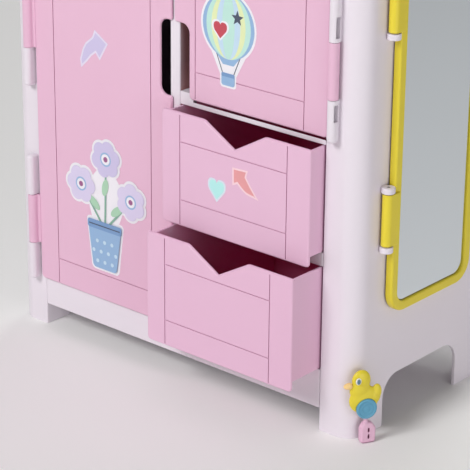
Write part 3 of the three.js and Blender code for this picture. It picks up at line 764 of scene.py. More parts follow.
@dataclass(frozen=True)
class Plastic(Finish):
    """A moulded plastic with its satin bump, and painted shade in creases and inside a hollow."""

    # painted shade in creases, and on the faces marked as inside a hollow
    crease_shade: HollowShade | None = None
    inside: HollowShade | None = None
    crease_shade_amount: float = 0.8
    bump: float = 0.25
    bump_depth: float = 0.12

    def _skin(self, tree: Tree, effects: SharedEffects, shader: Sockets, colour: Socket,
              height: Socket) -> Socket:
        """Adds the bump and the painted shade.

        Args:
            tree: The material's nodes.
            effects: The shared groups.
            shader: The shader's inputs.
            colour: The colour so far.
            height: The height of the grain.

        Returns:
            The final colour's socket.
        """
        bump = wired(tree, "ShaderNodeBump", {
            "Strength": self.bump, "Distance": self.bump_depth * MM, "Height": height})
        tree.links.new(bump.outputs["Normal"], shader["Normal"])
        # painted shade: the colour deepens in creases and inside hollows
        if self.crease_shade:
            colour = self.crease_shade.with_painted_shade(tree, effects, colour, self.crease_shade_amount)
        if self.inside:
            mask = wired(tree, "ShaderNodeAttribute", {}, attribute_name=SHADED_INSIDE)
            colour = self.inside.with_painted_shade(tree, effects, colour, mask.outputs["Fac"])
        return colour


@dataclass(frozen=True)
class PrintedVinyl(Finish):
    """Glossy sticker vinyl whose colours lie in the mesh's own print attribute."""

    def _base(self, tree: Tree) -> Socket:
        """The printed colour."""
        return wired(tree, "ShaderNodeAttribute", {}, attribute_name=PRINT).outputs["Color"]


@dataclass(frozen=True)
class Metal(Finish):
    """A bare metal: steel wire, screw heads or the mirror's silvered sheet."""

    def _skin(self, tree: Tree, effects: SharedEffects, shader: Sockets, colour: Socket,
              height: Socket) -> Socket:
        """Makes the shader metallic. See Finish."""
        shader["Metallic"].default_value = 1.0
        return colour


# The tones given for creases and insides are painted shade. Crevices, the drawers' insides and the web behind
# the centre post darken towards them, which stands in for shade and for light bounced off the pink plastic.
PINK_CREASE_SHADE = crease_shade("a8608c")
FINISHES = (
    Plastic("pink", "pink_plastic", "ecc0d8", "e8b8d2", crease_shade=PINK_CREASE_SHADE),
    Plastic("drawer pink with painted inside shade", "pink_plastic", "ecc2db", "e8bad5", crease_shade=PINK_CREASE_SHADE,
            inside=inside("ec5298", 150.0)),
    Plastic("white", "white_plastic", "eee6ee", "e9e0e9"),
    Plastic("inner white with painted inside shade", "white_plastic", "eee6ee", "e9e0e9", inside=inside("cc8a88", 400.0)),
    Plastic("yellow", "yellow_plastic", "eedb3a", "e8d234", roughness=0.36, crease_shade=crease_shade("9a7a00")),
    Plastic("orange", "orange_plastic", "ffdc98", "fcd28a", roughness=0.3, crease_shade=crease_shade("a05a10")),
    Plastic("blue", "blue_plastic", "64a8c8", "5aa0c0", roughness=0.34, crease_shade=crease_shade("123a5a")),
    Plastic("eye white", "eye_white", "f4f3ee", "efeee6", roughness=0.3),
    Plastic("eye dark", "eye_dark", "6b8c9c", "5c7c8e", roughness=0.2),
    PrintedVinyl("sticker vinyl", "sticker_vinyl", drift_amount=0.08, roughness=0.3, marks=0.1, wave=0.3),
    Metal("steel", "steel", "b4b4b8", drift_amount=0.1, roughness=0.32, marks=0.2, wave=0.1),
    Metal("mirror film", "mirror_film", "dfe5ea", drift_amount=0.1, roughness=0.04, marks=0.02, wave=0.1),
)


class Workshop:
    """Makes finished pieces: keeps the frame and the materials, by the record's slot."""

    def __init__(self, frame: dict) -> None:
        """Builds the finishes.

        Args:
            frame: The loaded frame.
        """
        self.frame = frame
        effects = SharedEffects()
        self.materials = {finish.name: finish.build(effects) for finish in FINISHES}
        self.slots = {finish.name: finish.slot for finish in FINISHES}
        self.replaced: set[str] = set()

    def piece(self, bm: Solid, name: str, finish: str, body: str, *nodes: str, sharp: float = 38.0) -> None:
        """Turns a mesh in millimetres into a finished piece.

        Args:
            bm: The mesh, which is freed.
            name: The piece's name.
            finish: The name of its finish.
            body: The body that it rides on.
            nodes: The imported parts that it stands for.
            sharp: Least angle of an edge that stays sharp, in degrees.
        """
        bmesh.ops.scale(bm, vec=(MM,) * 3, verts=bm.verts)
        made = placed(bm, name)
        made.data.shade_smooth()
        made.data.set_sharp_from_angle(angle=math.radians(sharp))
        made.data.materials.append(self.materials[finish])
        made.modifiers.new("even shading", "WEIGHTED_NORMAL").keep_sharp = True
        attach(made, body)
        if nodes:
            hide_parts(*nodes)
            self.replaced.update(nodes)
        LOG.info("%s: %d faces on %s", name, len(made.data.polygons), body)

    def moulded(self, bm: Solid, node: str, ending: str = "moulding") -> None:
        """Makes a white piece of the frame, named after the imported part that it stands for."""
        self.piece(bm, f"{node}_{ending}", "white", FRAME_BODY, node)

    def dress_rest(self) -> None:
        """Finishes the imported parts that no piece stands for."""
        slots = {part["node"]: part["material_slot"] for part in self.frame["record"]["subparts"]}
        by_slot = {slot: name for name, slot in reversed(self.slots.items())}
        for node, thing in self.frame["nodes"].items():
            if node in self.replaced:
                continue
            for place in thing.material_slots:
                place.material = self.materials[by_slot[slots[node]]]
            LOG.info("%s keeps its packed shape", node)


@dataclass(frozen=True)
class Lug:
    """A lug of a door hinge: its side of the knuckle, how far it goes, and where its moulding slot runs."""

    up: int
    reach: float
    slot: Pair


@dataclass(frozen=True)
class DoorHinge:
    """A hinge of a door: a pink knuckle between two white lugs of the frame."""

    barrel: float = 4.7
    knuckle: float = 48.5
    from_end: float = 60.4
    lugs: tuple[Lug, ...] = (Lug(1, 39.8, (3.4, 21.4)), Lug(-1, 37.6, (3.8, 18.4)))

    def heights(self, door: str) -> list[float]:
        """Heights of a door's hinges: three on the tall door, two on the short one.

        Args:
            door: The door's node.

        Returns:
            The heights of their middles, from the lowest up.
        """
        span = Span.of(door)
        ends = [span.low.z + self.from_end, span.high.z - self.from_end]
        return [ends[0], sum(ends) / 2, ends[1]] if door == "left_door" else ends


@dataclass
class Cabinet:
    """The white frame: sides with hinge lugs, boards, posts and rails, cap, and what is fixed inside."""

    shop: Workshop
    hinge: DoorHinge
    wall: float = 3.0
    side_post: float = 36.5
    corner: float = 18.0
    rear_corner: float = 10.0
    rear_return: float = 26.0
    jamb_return: float = 30.0
    jamb_edge: float = 1.2
    arch_inset: float = 43.0
    arch_top: float = 46.0
    arch_radius: float = 20.0
    arch_edge: float = 0.7
    knuckle_gap: float = 0.35
    lug_root: float = 0.2
    lug_dome: float = 3.4
    lug_flank: float = 3.8
    lug_waist: float = 2.3
    slot_width: float = 4.6
    slot_behind_nose: float = 1.6
    slot_from_axis: float = 0.8
    post_edge: float = 1.0
    post_depth: float = 14.0
    web: float = 4.0
    web_edge: float = 0.4
    cap_edge: float = 4.0
    cap_skirt: float = 2.7
    board_edge: float = 0.5
    boards: tuple[str, ...] = (
        "plinth_rail", "floor_panel", "drawer_board", "top_rail", "ceiling_panel", "inner_shelf",
        "shelf_ledge_left", "shelf_ledge_right", "back_panel", "door_catch_left", "door_catch_right")
    shelf_gap_below: float = 2.9
    shelf_gap_above: float = 1.0
    shelf_gap_start: float = 2.6
    shelf_gap_fall: float = 3.6
    shelf_gap_depth: float = 6.0
    rail_tip: float = 0.5
    cup_clearance: float = 0.3
    cup_edge: float = 0.6
    pin_tip: float = 0.4
    screw_shank: float = 1.4
    screw_tip: float = 0.6
    screw_head: float = 2.0
    screw_rim: float = 0.9
    screw_dome: tuple[Pair, ...] = ((0.8, -0.35), (0.4, -0.05), (0, 0))
    cross_width: float = 0.9
    cross_depth: float = 1.0

    def build(self) -> None:
        """Makes every fixed piece of the frame."""
        for side, word in SIDES:
            self._side(side, word)
        self._centre_post()
        self._cap()
        for node in self.boards:
            self.shop.moulded(copy_of(node, self.shop.frame, self.board_edge), node)
        self._shelf()
        self._hanging_rail()
        for node in sorted(self.shop.frame["nodes"]):
            if node.startswith("back_screw"):
                self._screw(node)
            if "_pin_" in node:
                self._pin(node)

    def _lug(self, side: int, axis: Vector, centre: float, lug: Lug, face: float) -> Solid:
        """One lug of a door hinge: a rounded bar with a domed end and a moulding slot.

        Args:
            side: -1 on the left, 1 on the right.
            axis: A point on the hinge's axis.
            centre: Height of the hinge's middle.
            lug: Which lug it is.
            face: The y of the frame's front.

        Returns:
            The lug.
        """
        barrel, half = self.hinge.barrel, self.hinge.knuckle / 2
        inner, outer = centre + lug.up * (half + self.knuckle_gap), centre + lug.up * (half + lug.reach)
        nose, back, flank = axis.y - barrel, face + self.wall / 2, self.lug_flank
        near_door, far_door = axis.x - side * flank, axis.x + side * barrel
        bar = prism([(near_door, back, 0), (near_door, nose, flank), (far_door, nose, flank),
                     (far_door, axis.y + flank / 2, flank), (far_door - side * self.lug_waist, back, 0)],
                    Along.Z, inner, outer, low_edge=self.lug_root, high_edge=self.lug_dome,
                    arc_steps=10, steps=5)
        low, high = sorted(inner + lug.up * end for end in lug.slot)
        left, right = sorted(axis.x + side * off for off in (self.slot_from_axis, barrel + self.wall))
        front = nose + self.slot_behind_nose
        return joined(bar, block((left, front, low), (right, front + self.slot_width, high)), Join.CARVE)

    def _side(self, side: int, word: str) -> None:
        """One side, moulded with its front post, its arch and its hinge lugs.

        Args:
            side: -1 on the left, 1 on the right.
            word: The side's word in the names.
        """
        face = Span.of("plinth_rail").low.y
        span = Span.of(f"side_panel_{word}")
        outer, back = span.high.x if side > 0 else span.low.x, span.high.y
        wall = side * self.wall
        jamb, skin, lip = outer - side * self.side_post, outer - wall, outer - side * self.rear_return
        shell = prism([
            (jamb, face, self.jamb_edge), (outer, face, self.corner), (outer, back, self.rear_corner),
            (lip, back, 0), (lip, back - self.wall, 0),
            (skin, back - self.wall, self.rear_corner - self.wall),
            (skin, face + self.wall, self.corner - self.wall), (jamb + wall, face + self.wall, 0),
            (jamb + wall, face + self.jamb_return, 0), (jamb, face + self.jamb_return, 0),
        ], Along.Z, span.low.z, span.high.z, low_edge=self.board_edge, arc_steps=14, steps=2)
        front, rear = face + self.arch_inset, back - self.arch_inset
        arch = prism([(front, -self.wall, 0), (rear, -self.wall, 0), (rear, self.arch_top, self.arch_radius),
                      (front, self.arch_top, self.arch_radius)], Along.X,
                     *sorted((outer - 2 * wall, outer + wall)), arc_steps=12)
        shell = joined(shell, arch, Join.CARVE)
        soften(shell, sharp_edges(shell, SHARP, lambda place: abs(place.x - outer) < SAME_PLACE
                                  and front - ROOM < place.y < rear + ROOM
                                  and place.z < self.arch_top + ROOM), self.arch_edge, 2)
        axis = joint_axis(self.shop.frame, f"{word}_door_hinge")
        for centre in self.hinge.heights(f"{word}_door"):
            for lug in self.hinge.lugs:
                shell = joined(shell, self._lug(side, axis, centre, lug, face), Join.WELD)
        self.shop.piece(shell, f"{word}_side", "white", FRAME_BODY, f"side_panel_{word}")

    def _centre_post(self) -> None:
        """The post between the doors and the thin web behind it."""
        span = Span.of("centre_divider")
        low, high, middle = span.low, span.high, span.middle.x
        step, half = low.y + self.post_depth, self.web / 2
        post = prism([
            (low.x, low.y, self.post_edge), (high.x, low.y, self.post_edge), (high.x, step, self.web_edge),
            (middle + half, step, self.web_edge), (middle + half, high.y, 0), (middle - half, high.y, 0),
            (middle - half, step, self.web_edge), (low.x, step, self.web_edge),
        ], Along.Z, low.z, high.z)
        # The web's faces take painted shade: a brownish colour where the compartment closes them in. It
        # stands in for shade and for light bounced off the pink doors.
        mark_shaded_inside(post, (low.x, low.y + self.post_edge + ROOM, low.z), (high.x, step - ROOM, high.z))
        self.shop.piece(post, "centre_post", "inner white with painted inside shade", FRAME_BODY, "centre_divider")

    def _cap(self) -> None:
        """The shallow lid on top, hollow from below."""
        low, high = Span.of("top_panel").low, Span.of("top_panel").high
        front, rear = self.corner + self.cap_skirt, self.rear_corner + self.cap_skirt
        cap = prism([(low.x, low.y, front), (high.x, low.y, front), (high.x, high.y, rear),
                     (low.x, high.y, rear)], Along.Z, low.z, high.z, high_edge=self.cap_edge,
                    arc_steps=14, steps=6)
        under = [face for face in cap.faces if is_facing(face, 2, -1)]
        bmesh.ops.inset_region(cap, faces=under, thickness=self.cap_skirt, use_even_offset=True)
        push_in(cap, under, (0, 0, high.z - low.z - self.wall))
        bmesh.ops.recalc_face_normals(cap, faces=cap.faces)
        self.shop.piece(cap, "top_cap", "white", FRAME_BODY, "top_panel")

    def _shelf(self) -> None:
        """The shelf over the drawers, with the moulded gap under the short door."""
        shelf, door = Span.of("middle_shelf"), Span.of("right_door").low
        low, high = door.z - self.shelf_gap_below, door.z + self.shelf_gap_above
        face = shelf.low.y
        inner = face + self.shelf_gap_depth
        gap = prism([(face - ROOM, high, 0), (face - ROOM, low, 0), (face, low, 0),
                     (inner, low - self.shelf_gap_fall, 0), (inner, high, 0)],
                    Along.X, door.x + HANDLE_WIDTHS["right"] + self.shelf_gap_start, shelf.high.x + ROOM)
        board = copy_of("middle_shelf", self.shop.frame, self.board_edge)
        self.shop.moulded(joined(board, gap, Join.CARVE), "middle_shelf")

    def _hanging_rail(self) -> None:
        """The hanging rail and the two cups that hold it."""
        rail = Span.of("hanging_rail")
        radius = rail.size.z / 2
        bar = rod(radius, rail.size.x / 2, self.rail_tip, rail.middle, Along.X)
        self.shop.piece(bar, "hanging_bar", "white", FRAME_BODY, "hanging_rail")
        for _, word in SIDES:
            span = Span.of(f"rail_socket_{word}")
            deep = span.size.x / 2
            cup = drum(span.size.z / 2, -deep, deep, span.middle, Along.X, bore=radius + self.cup_clearance)
            soften(cup, sharp_edges(cup, SQUARE), self.cup_edge)
            self.shop.piece(cup, f"rail_cup_{word}", "white", FRAME_BODY, f"rail_socket_{word}")

    def _screw(self, node: str) -> None:
        """A pan-head screw with a cross recess.

        Args:
            node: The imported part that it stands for.
        """
        span = Span.of(node)
        radius, length = span.size.x / 2, span.size.y
        middle = Vector((span.middle.x, span.high.y, span.middle.z))
        shank, head = self.screw_shank, self.screw_head
        screw = lathe([(0, -length), (shank, self.screw_tip - length), (shank, -head), (radius, -head),
                       (radius, self.screw_rim - head), *widened(self.screw_dome, radius)],
                      middle, Along.Y, turns=28)
        for wide, tall in ((self.cross_width, radius), (radius, self.cross_width)):
            half = Vector((wide / 2, self.cross_depth, tall / 2))
            screw = joined(screw, block(middle - half, middle + half), Join.CARVE)
        self.shop.piece(screw, f"{node}_turned", "steel", FRAME_BODY, node)

    def _pin(self, node: str) -> None:
        """A wire pin with rounded ends.

        Args:
            node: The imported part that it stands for.
        """
        span = Span.of(node)
        pin = rod(span.size.x / 2, span.size.z / 2, self.pin_tip, span.middle, Along.Z, turns=20)
        self.shop.piece(pin, f"{node}_wire", "steel", FRAME_BODY, node)


@dataclass
class Door:
    """A pink door: a grooved plate with a rim behind it, and knuckles that flow out of its edge."""

    shop: Workshop
    hinge: DoorHinge
    side: int
    word: str
    thickness: float = 2.6
    edge: float = 2.1
    back_edge: float = 0.3
    corner: float = 4.4
    hinge_stand: float = 6.7
    barrel_forward: float = 1.8
    free_stile: float = 24.7
    hinge_stile: float = 24.6
    rail: float = 26.5
    handle_below: float = 1.6
    handle_rise: float = 66.9
    handle_radius: float = 8.0
    handle_lip: float = 2.3
    rim_inset: float = 8.2
    rim_hinge_inset: float = 6.3
    rim_clearance: float = 3.0
    rim_wall: float = 2.0
    rim_depth: float = 5.0
    rim_sunk: float = 0.2
    rim_edge: float = 0.5
    knuckle_root: float = 0.9
    knuckle_sunk: float = 0.12
    knuckle_fillet: float = 1.6
    knuckle_flat: float = 0.05
    knuckle_heel: float = 1.6
    knuckle_tail: float = 0.4
    knuckle_heel_edge: float = 0.2
    knuckle_end_edge: float = 0.35

    def __post_init__(self) -> None:
        """Reads the door's place."""
        self.node = f"{self.word}_door"
        self.span = Span.of(self.node)
        self.axis = joint_axis(self.shop.frame, f"{self.node}_hinge")
        self.free = self.span.low.x if self.side > 0 else self.span.high.x
        self.face = self.axis.y + self.barrel_forward
        self.back = self.face + self.thickness

    def _corners(self, inset: float, hinge_inset: float, end_inset: float) -> list[Corner]:
        """Corners of the door, moved inwards.

        Args:
            inset: How far the free edge and the handle opening move.
            hinge_inset: How far the hinged edge moves.
            end_inset: How far the top and the bottom move.

        Returns:
            The corners as x, z and radius.
        """
        free = self.free + self.side * inset
        hinge = self.axis.x - self.side * (self.hinge_stand + hinge_inset)
        low, high = self.span.low.z + end_inset, self.span.high.z - end_inset
        grip = free + self.side * HANDLE_WIDTHS[self.word]
        base = Span.of("right_door").low.z
        grip_high, grip_low = base + self.handle_rise + inset, base - self.handle_below - inset
        lip = 0.0 if inset else self.handle_lip
        corners = [(hinge, low, self.corner), (hinge, high, self.corner), (free, high, self.corner),
                   (free, grip_high, lip), (grip, grip_high, self.handle_radius)]
        if self.side > 0:
            return corners + [(grip, low, self.corner)]
        return corners + [(grip, grip_low, self.handle_radius), (free, grip_low, lip),
                          (free, low, self.corner)]

    def build(self) -> None:
        """Makes the door as one moulding."""
        low, high = self.span.low.z, self.span.high.z
        plate = prism(self._corners(0, 0, 0), Along.Y, self.face, self.back,
                      low_edge=self.edge, high_edge=self.back_edge, steps=5)
        groove_front(plate, self.face,
                     [self.free + self.side * self.free_stile,
                      self.axis.x - self.side * (self.hinge_stand + self.hinge_stile)],
                     [low + self.rail, high - self.rail])
        floor = Span.of("floor_panel" if self.side < 0 else "middle_shelf").high.z
        ends = max(floor - low, high - Span.of("top_rail").low.z) + self.rim_clearance
        rim = ring(self._corners(self.rim_inset, self.rim_hinge_inset, ends), self.rim_wall,
                   Along.Y, self.back - self.rim_sunk, self.back + self.rim_depth, high_edge=self.rim_edge)
        absorb(plate, rim, *(self._knuckle(centre) for centre in self.hinge.heights(self.node)))
        self.shop.piece(plate, f"{self.node}_moulding", "pink", self.node, self.node)

    def _knuckle(self, centre: float) -> Solid:
        """A hinge knuckle whose skin runs in one curve into the door's face.

        Args:
            centre: Height of the knuckle's middle.

        Returns:
            The knuckle.
        """
        axis, side, size, half = self.axis, self.side, self.hinge.barrel, self.hinge.knuckle / 2
        start, sunk = axis.x - side * (self.hinge_stand + self.knuckle_root), self.face + self.knuckle_sunk
        near, far, round_corner = axis.x - side * size, axis.x + side * size, size - self.knuckle_flat
        return prism([
            (start, self.back, 0), (start, sunk, 0), (near, sunk, self.knuckle_fillet),
            (near, axis.y - size, round_corner), (far, axis.y - size, round_corner),
            (far, axis.y + size, round_corner),
            (near + side * self.knuckle_heel, axis.y + size, self.knuckle_heel_edge),
            (near + side * self.knuckle_tail, self.back, self.knuckle_heel_edge),
        ], Along.Z, centre - half, centre + half, low_edge=self.knuckle_end_edge,
            high_edge=self.knuckle_end_edge, arc_steps=12, steps=2)


@dataclass
class Drawer:
    """A pink drawer: a grooved front with a finger notch, and the box moulded behind it."""

    shop: Workshop
    word: str
    edge: float = 1.9
    corner: float = 4.0
    side_corner: float = 2.0
    notch_width: float = 68.0
    notch_depth: float = 19.4
    notch_shoulder: float = 9.0
    notch_foot: float = 1.4
    groove_left: float = 21.7
    groove_right: float = 24.7
    groove_top: float = 26.2
    groove_bottom: float = 25.1
    wall: float = 2.0
    box_corner: float = 1.2
    rim: float = 0.5
    stop_height: float = 6.0
    stop_length: float = 5.0
    stop_edge: float = 0.4

    def build(self) -> None:
        """Makes the drawer as one moulding."""
        front_node, box_node = f"{self.word}_drawer_front", f"{self.word}_drawer_box"
        front, box = Span.of(front_node), Span.of(box_node)
        low, high, middle, half = front.low, front.high, front.middle.x, self.notch_width / 2
        plate = prism([
            (low.x, low.z, self.corner), (high.x, low.z, self.corner), (high.x, high.z, self.side_corner),
            (middle + half, high.z, self.notch_shoulder),
            (middle, high.z - self.notch_depth, self.notch_foot),
            (middle - half, high.z, self.notch_shoulder), (low.x, high.z, self.corner),
        ], Along.Y, low.y, high.y, low_edge=self.edge, steps=5)
        groove_front(plate, low.y, [low.x + self.groove_left, high.x - self.groove_right],
                     [high.z - self.groove_top, low.z + self.groove_bottom])
        # The faces inside the drawer take painted shade, a deep wine colour where the box closes them in.
        mark_shaded_inside(plate, (low.x, high.y, low.z), high)
        shell = self._box(box, high.y, high.z, box_node)
        mark_shaded_inside(shell, (box.low.x + self.wall, high.y, box.low.z + self.wall),
                    (box.high.x - self.wall, box.high.y - self.wall, high.z))
        absorb(plate, shell)
        self.shop.piece(plate, f"{self.word}_drawer_moulding", "drawer pink with painted inside shade", f"{self.word}_drawer",
                        front_node, box_node)

    def _box(self, box: Span, joint: float, top: float, node: str) -> Solid:
        """The open box behind the front, with its two stops.

        Args:
            box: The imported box's span.
            joint: The y where it meets the front's back.
            top: The z of its rim.
            node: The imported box's name.

        Returns:
            The box.
        """
        low, high = box.low, box.high
        bm = block((low.x, joint, low.z), (high.x, high.y, top))
        away = [face for face in bm.faces if is_facing(face, 2, 1) or is_facing(face, 1, -1)]
        bmesh.ops.delete(bm, geom=away, context="FACES")
        soften(bm, [edge for edge in bm.edges if not edge.is_boundary], self.box_corner)
        bmesh.ops.recalc_face_normals(bm, faces=bm.faces)
        if sum(face.normal.dot(face.calc_center_median() - box.middle) for face in bm.faces) < 0:
            bmesh.ops.reverse_faces(bm, faces=bm.faces)
        bmesh.ops.solidify(bm, geom=list(bm.faces), thickness=self.wall)
        bmesh.ops.recalc_face_normals(bm, faces=bm.faces)
        soften(bm, sharp_edges(bm, SQUARE, lambda place: place.z > top - SAME_PLACE), self.rim, 2)
        points = [vert.co / MM for vert in self.shop.frame["nodes"][node].data.vertices]
        stop = min(point.y for point in points if point.z > high.z - ROOM)
        size = Vector((self.wall, self.stop_length, self.wall + self.stop_height))
        for x in (low.x, high.x - self.wall):
            foot = Vector((x, stop, top - self.wall))
            absorb(bm, block(foot, foot + size, self.stop_edge))
        return bm


@dataclass
class SideMirror:
    """The yellow-framed mirror on the right side, with its glass, knuckles and lugs."""

    shop: Workshop
    border: float = 9.0
    gap: float = 0.3
    thickness: float = 7.0
    pocket: float = 4.5
    radius: float = 20.0
    edge: float = 2.0
    back_edge: float = 0.8
    inner_edge: float = 1.4
    glass_edge: float = 0.6
    barrel: float = 5.0
    barrel_tip: float = 0.5
    knuckle: float = 46.5
    leaf: float = 4.0
    leaf_edge: float = 0.8
    lug_radius: float = 5.9
    lug_bore: float = 1.8
    lug_edge: float = 0.7
    neck_sunk: float = 0.6
    neck_width: float = 5.8
    neck_from_bore: float = 0.4
    neck_edge: float = 0.5

    def build(self) -> None:
        """Makes the frame, the glass and the lugs."""
        glass, frame = Span.of("mirror_glass"), Span.of("mirror_frame")
        axis = joint_axis(self.shop.frame, "side_mirror_hinge")
        border, grow = self.border, self.border + self.gap
        front, rear, low, high = glass.low.y - grow, glass.high.y + grow, frame.low.z, frame.high.z
        outer = glass.low.x + self.pocket - self.gap
        plate = prism(rectangle(front, rear, low, high, self.radius), Along.X, outer - self.thickness, outer,
                      low_edge=self.back_edge, high_edge=self.edge, arc_steps=14, steps=5)
        inner = (front + border, rear - border, low + border, high - border)
        hollow = prism(rectangle(*inner, self.radius - border), Along.X, outer - self.pocket,
                       outer + self.thickness, arc_steps=12)
        plate = joined(plate, hollow, Join.CARVE)
        soften(plate, sharp_edges(plate, SHARP, lambda place: abs(place.x - outer) < SAME_PLACE
                                  and inner[0] - ROOM < place.y < inner[1] + ROOM
                                  and inner[2] - ROOM < place.z < inner[3] + ROOM), self.inner_edge)
        for rank in ("lower", "upper"):
            centre, half = Span.of(f"mirror_pin_{rank}").middle.z, self.knuckle / 2
            tube = rod(self.barrel, half, self.barrel_tip, (axis.x, axis.y, centre), Along.Z)
            leaf = block((axis.x + self.barrel - self.leaf, axis.y, centre - half),
                         (axis.x + self.barrel, front + border / 2, centre + half), self.leaf_edge)
            absorb(plate, joined(tube, leaf, Join.WELD))
            for end in ("bottom", "top"):
                self._lug(f"mirror_lug_{rank}_{end}", axis)
        self.shop.piece(plate, "mirror_frame_moulding", "yellow", "side_mirror", "mirror_frame")
        sheet = prism(rectangle(glass.low.y, glass.high.y, glass.low.z, glass.high.z, self.radius - grow),
                      Along.X, glass.low.x, glass.high.x, high_edge=self.glass_edge, arc_steps=12)
        self.shop.piece(sheet, "mirror_sheet", "mirror film", "side_mirror", "mirror_glass")

    def _lug(self, node: str, axis: Vector) -> None:
        """A white ring on the cabinet's side that holds the mirror's pin.

        Args:
            node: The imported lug's name.
            axis: A point on the mirror's axis.
        """
        low, high, bore, half = Span.of(node).low, Span.of(node).high, self.lug_bore, self.neck_width / 2
        eye = drum(self.lug_radius, low.z, high.z, (axis.x, axis.y, 0), Along.Z, bore=bore)
        soften(eye, sharp_edges(eye, SQUARE, lambda place: (place.xy - axis.xy).length > bore + ROOM),
               self.lug_edge)
        neck = block((low.x - self.neck_sunk, axis.y - half, low.z),
                     (axis.x - bore - self.neck_from_bore, axis.y + half, high.z), self.neck_edge)
        self.shop.moulded(joined(eye, neck, Join.WELD), node, "eye")


@dataclass(frozen=True)
class Puff:
    """A flattened ball of the duck: its middle, half its width and height, and its share of the depth."""

    x: float
    z: float
    wide: float
    tall: float
    depth: float = 1.0


@dataclass(frozen=True)
class EyeDisc:
    """A domed disc of the duck's eye.

    Attributes:
        name: The piece's name.
        finish: The name of its finish.
        node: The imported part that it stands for.
        radius: Its radius before it is stretched.
        wide: Its stretch in width.
        tall: Its stretch in height.
        stand: How far it stands out of the duck's face.
    """

    name: str
    finish: str
    node: str
    radius: float
    wide: float
    tall: float
    stand: float


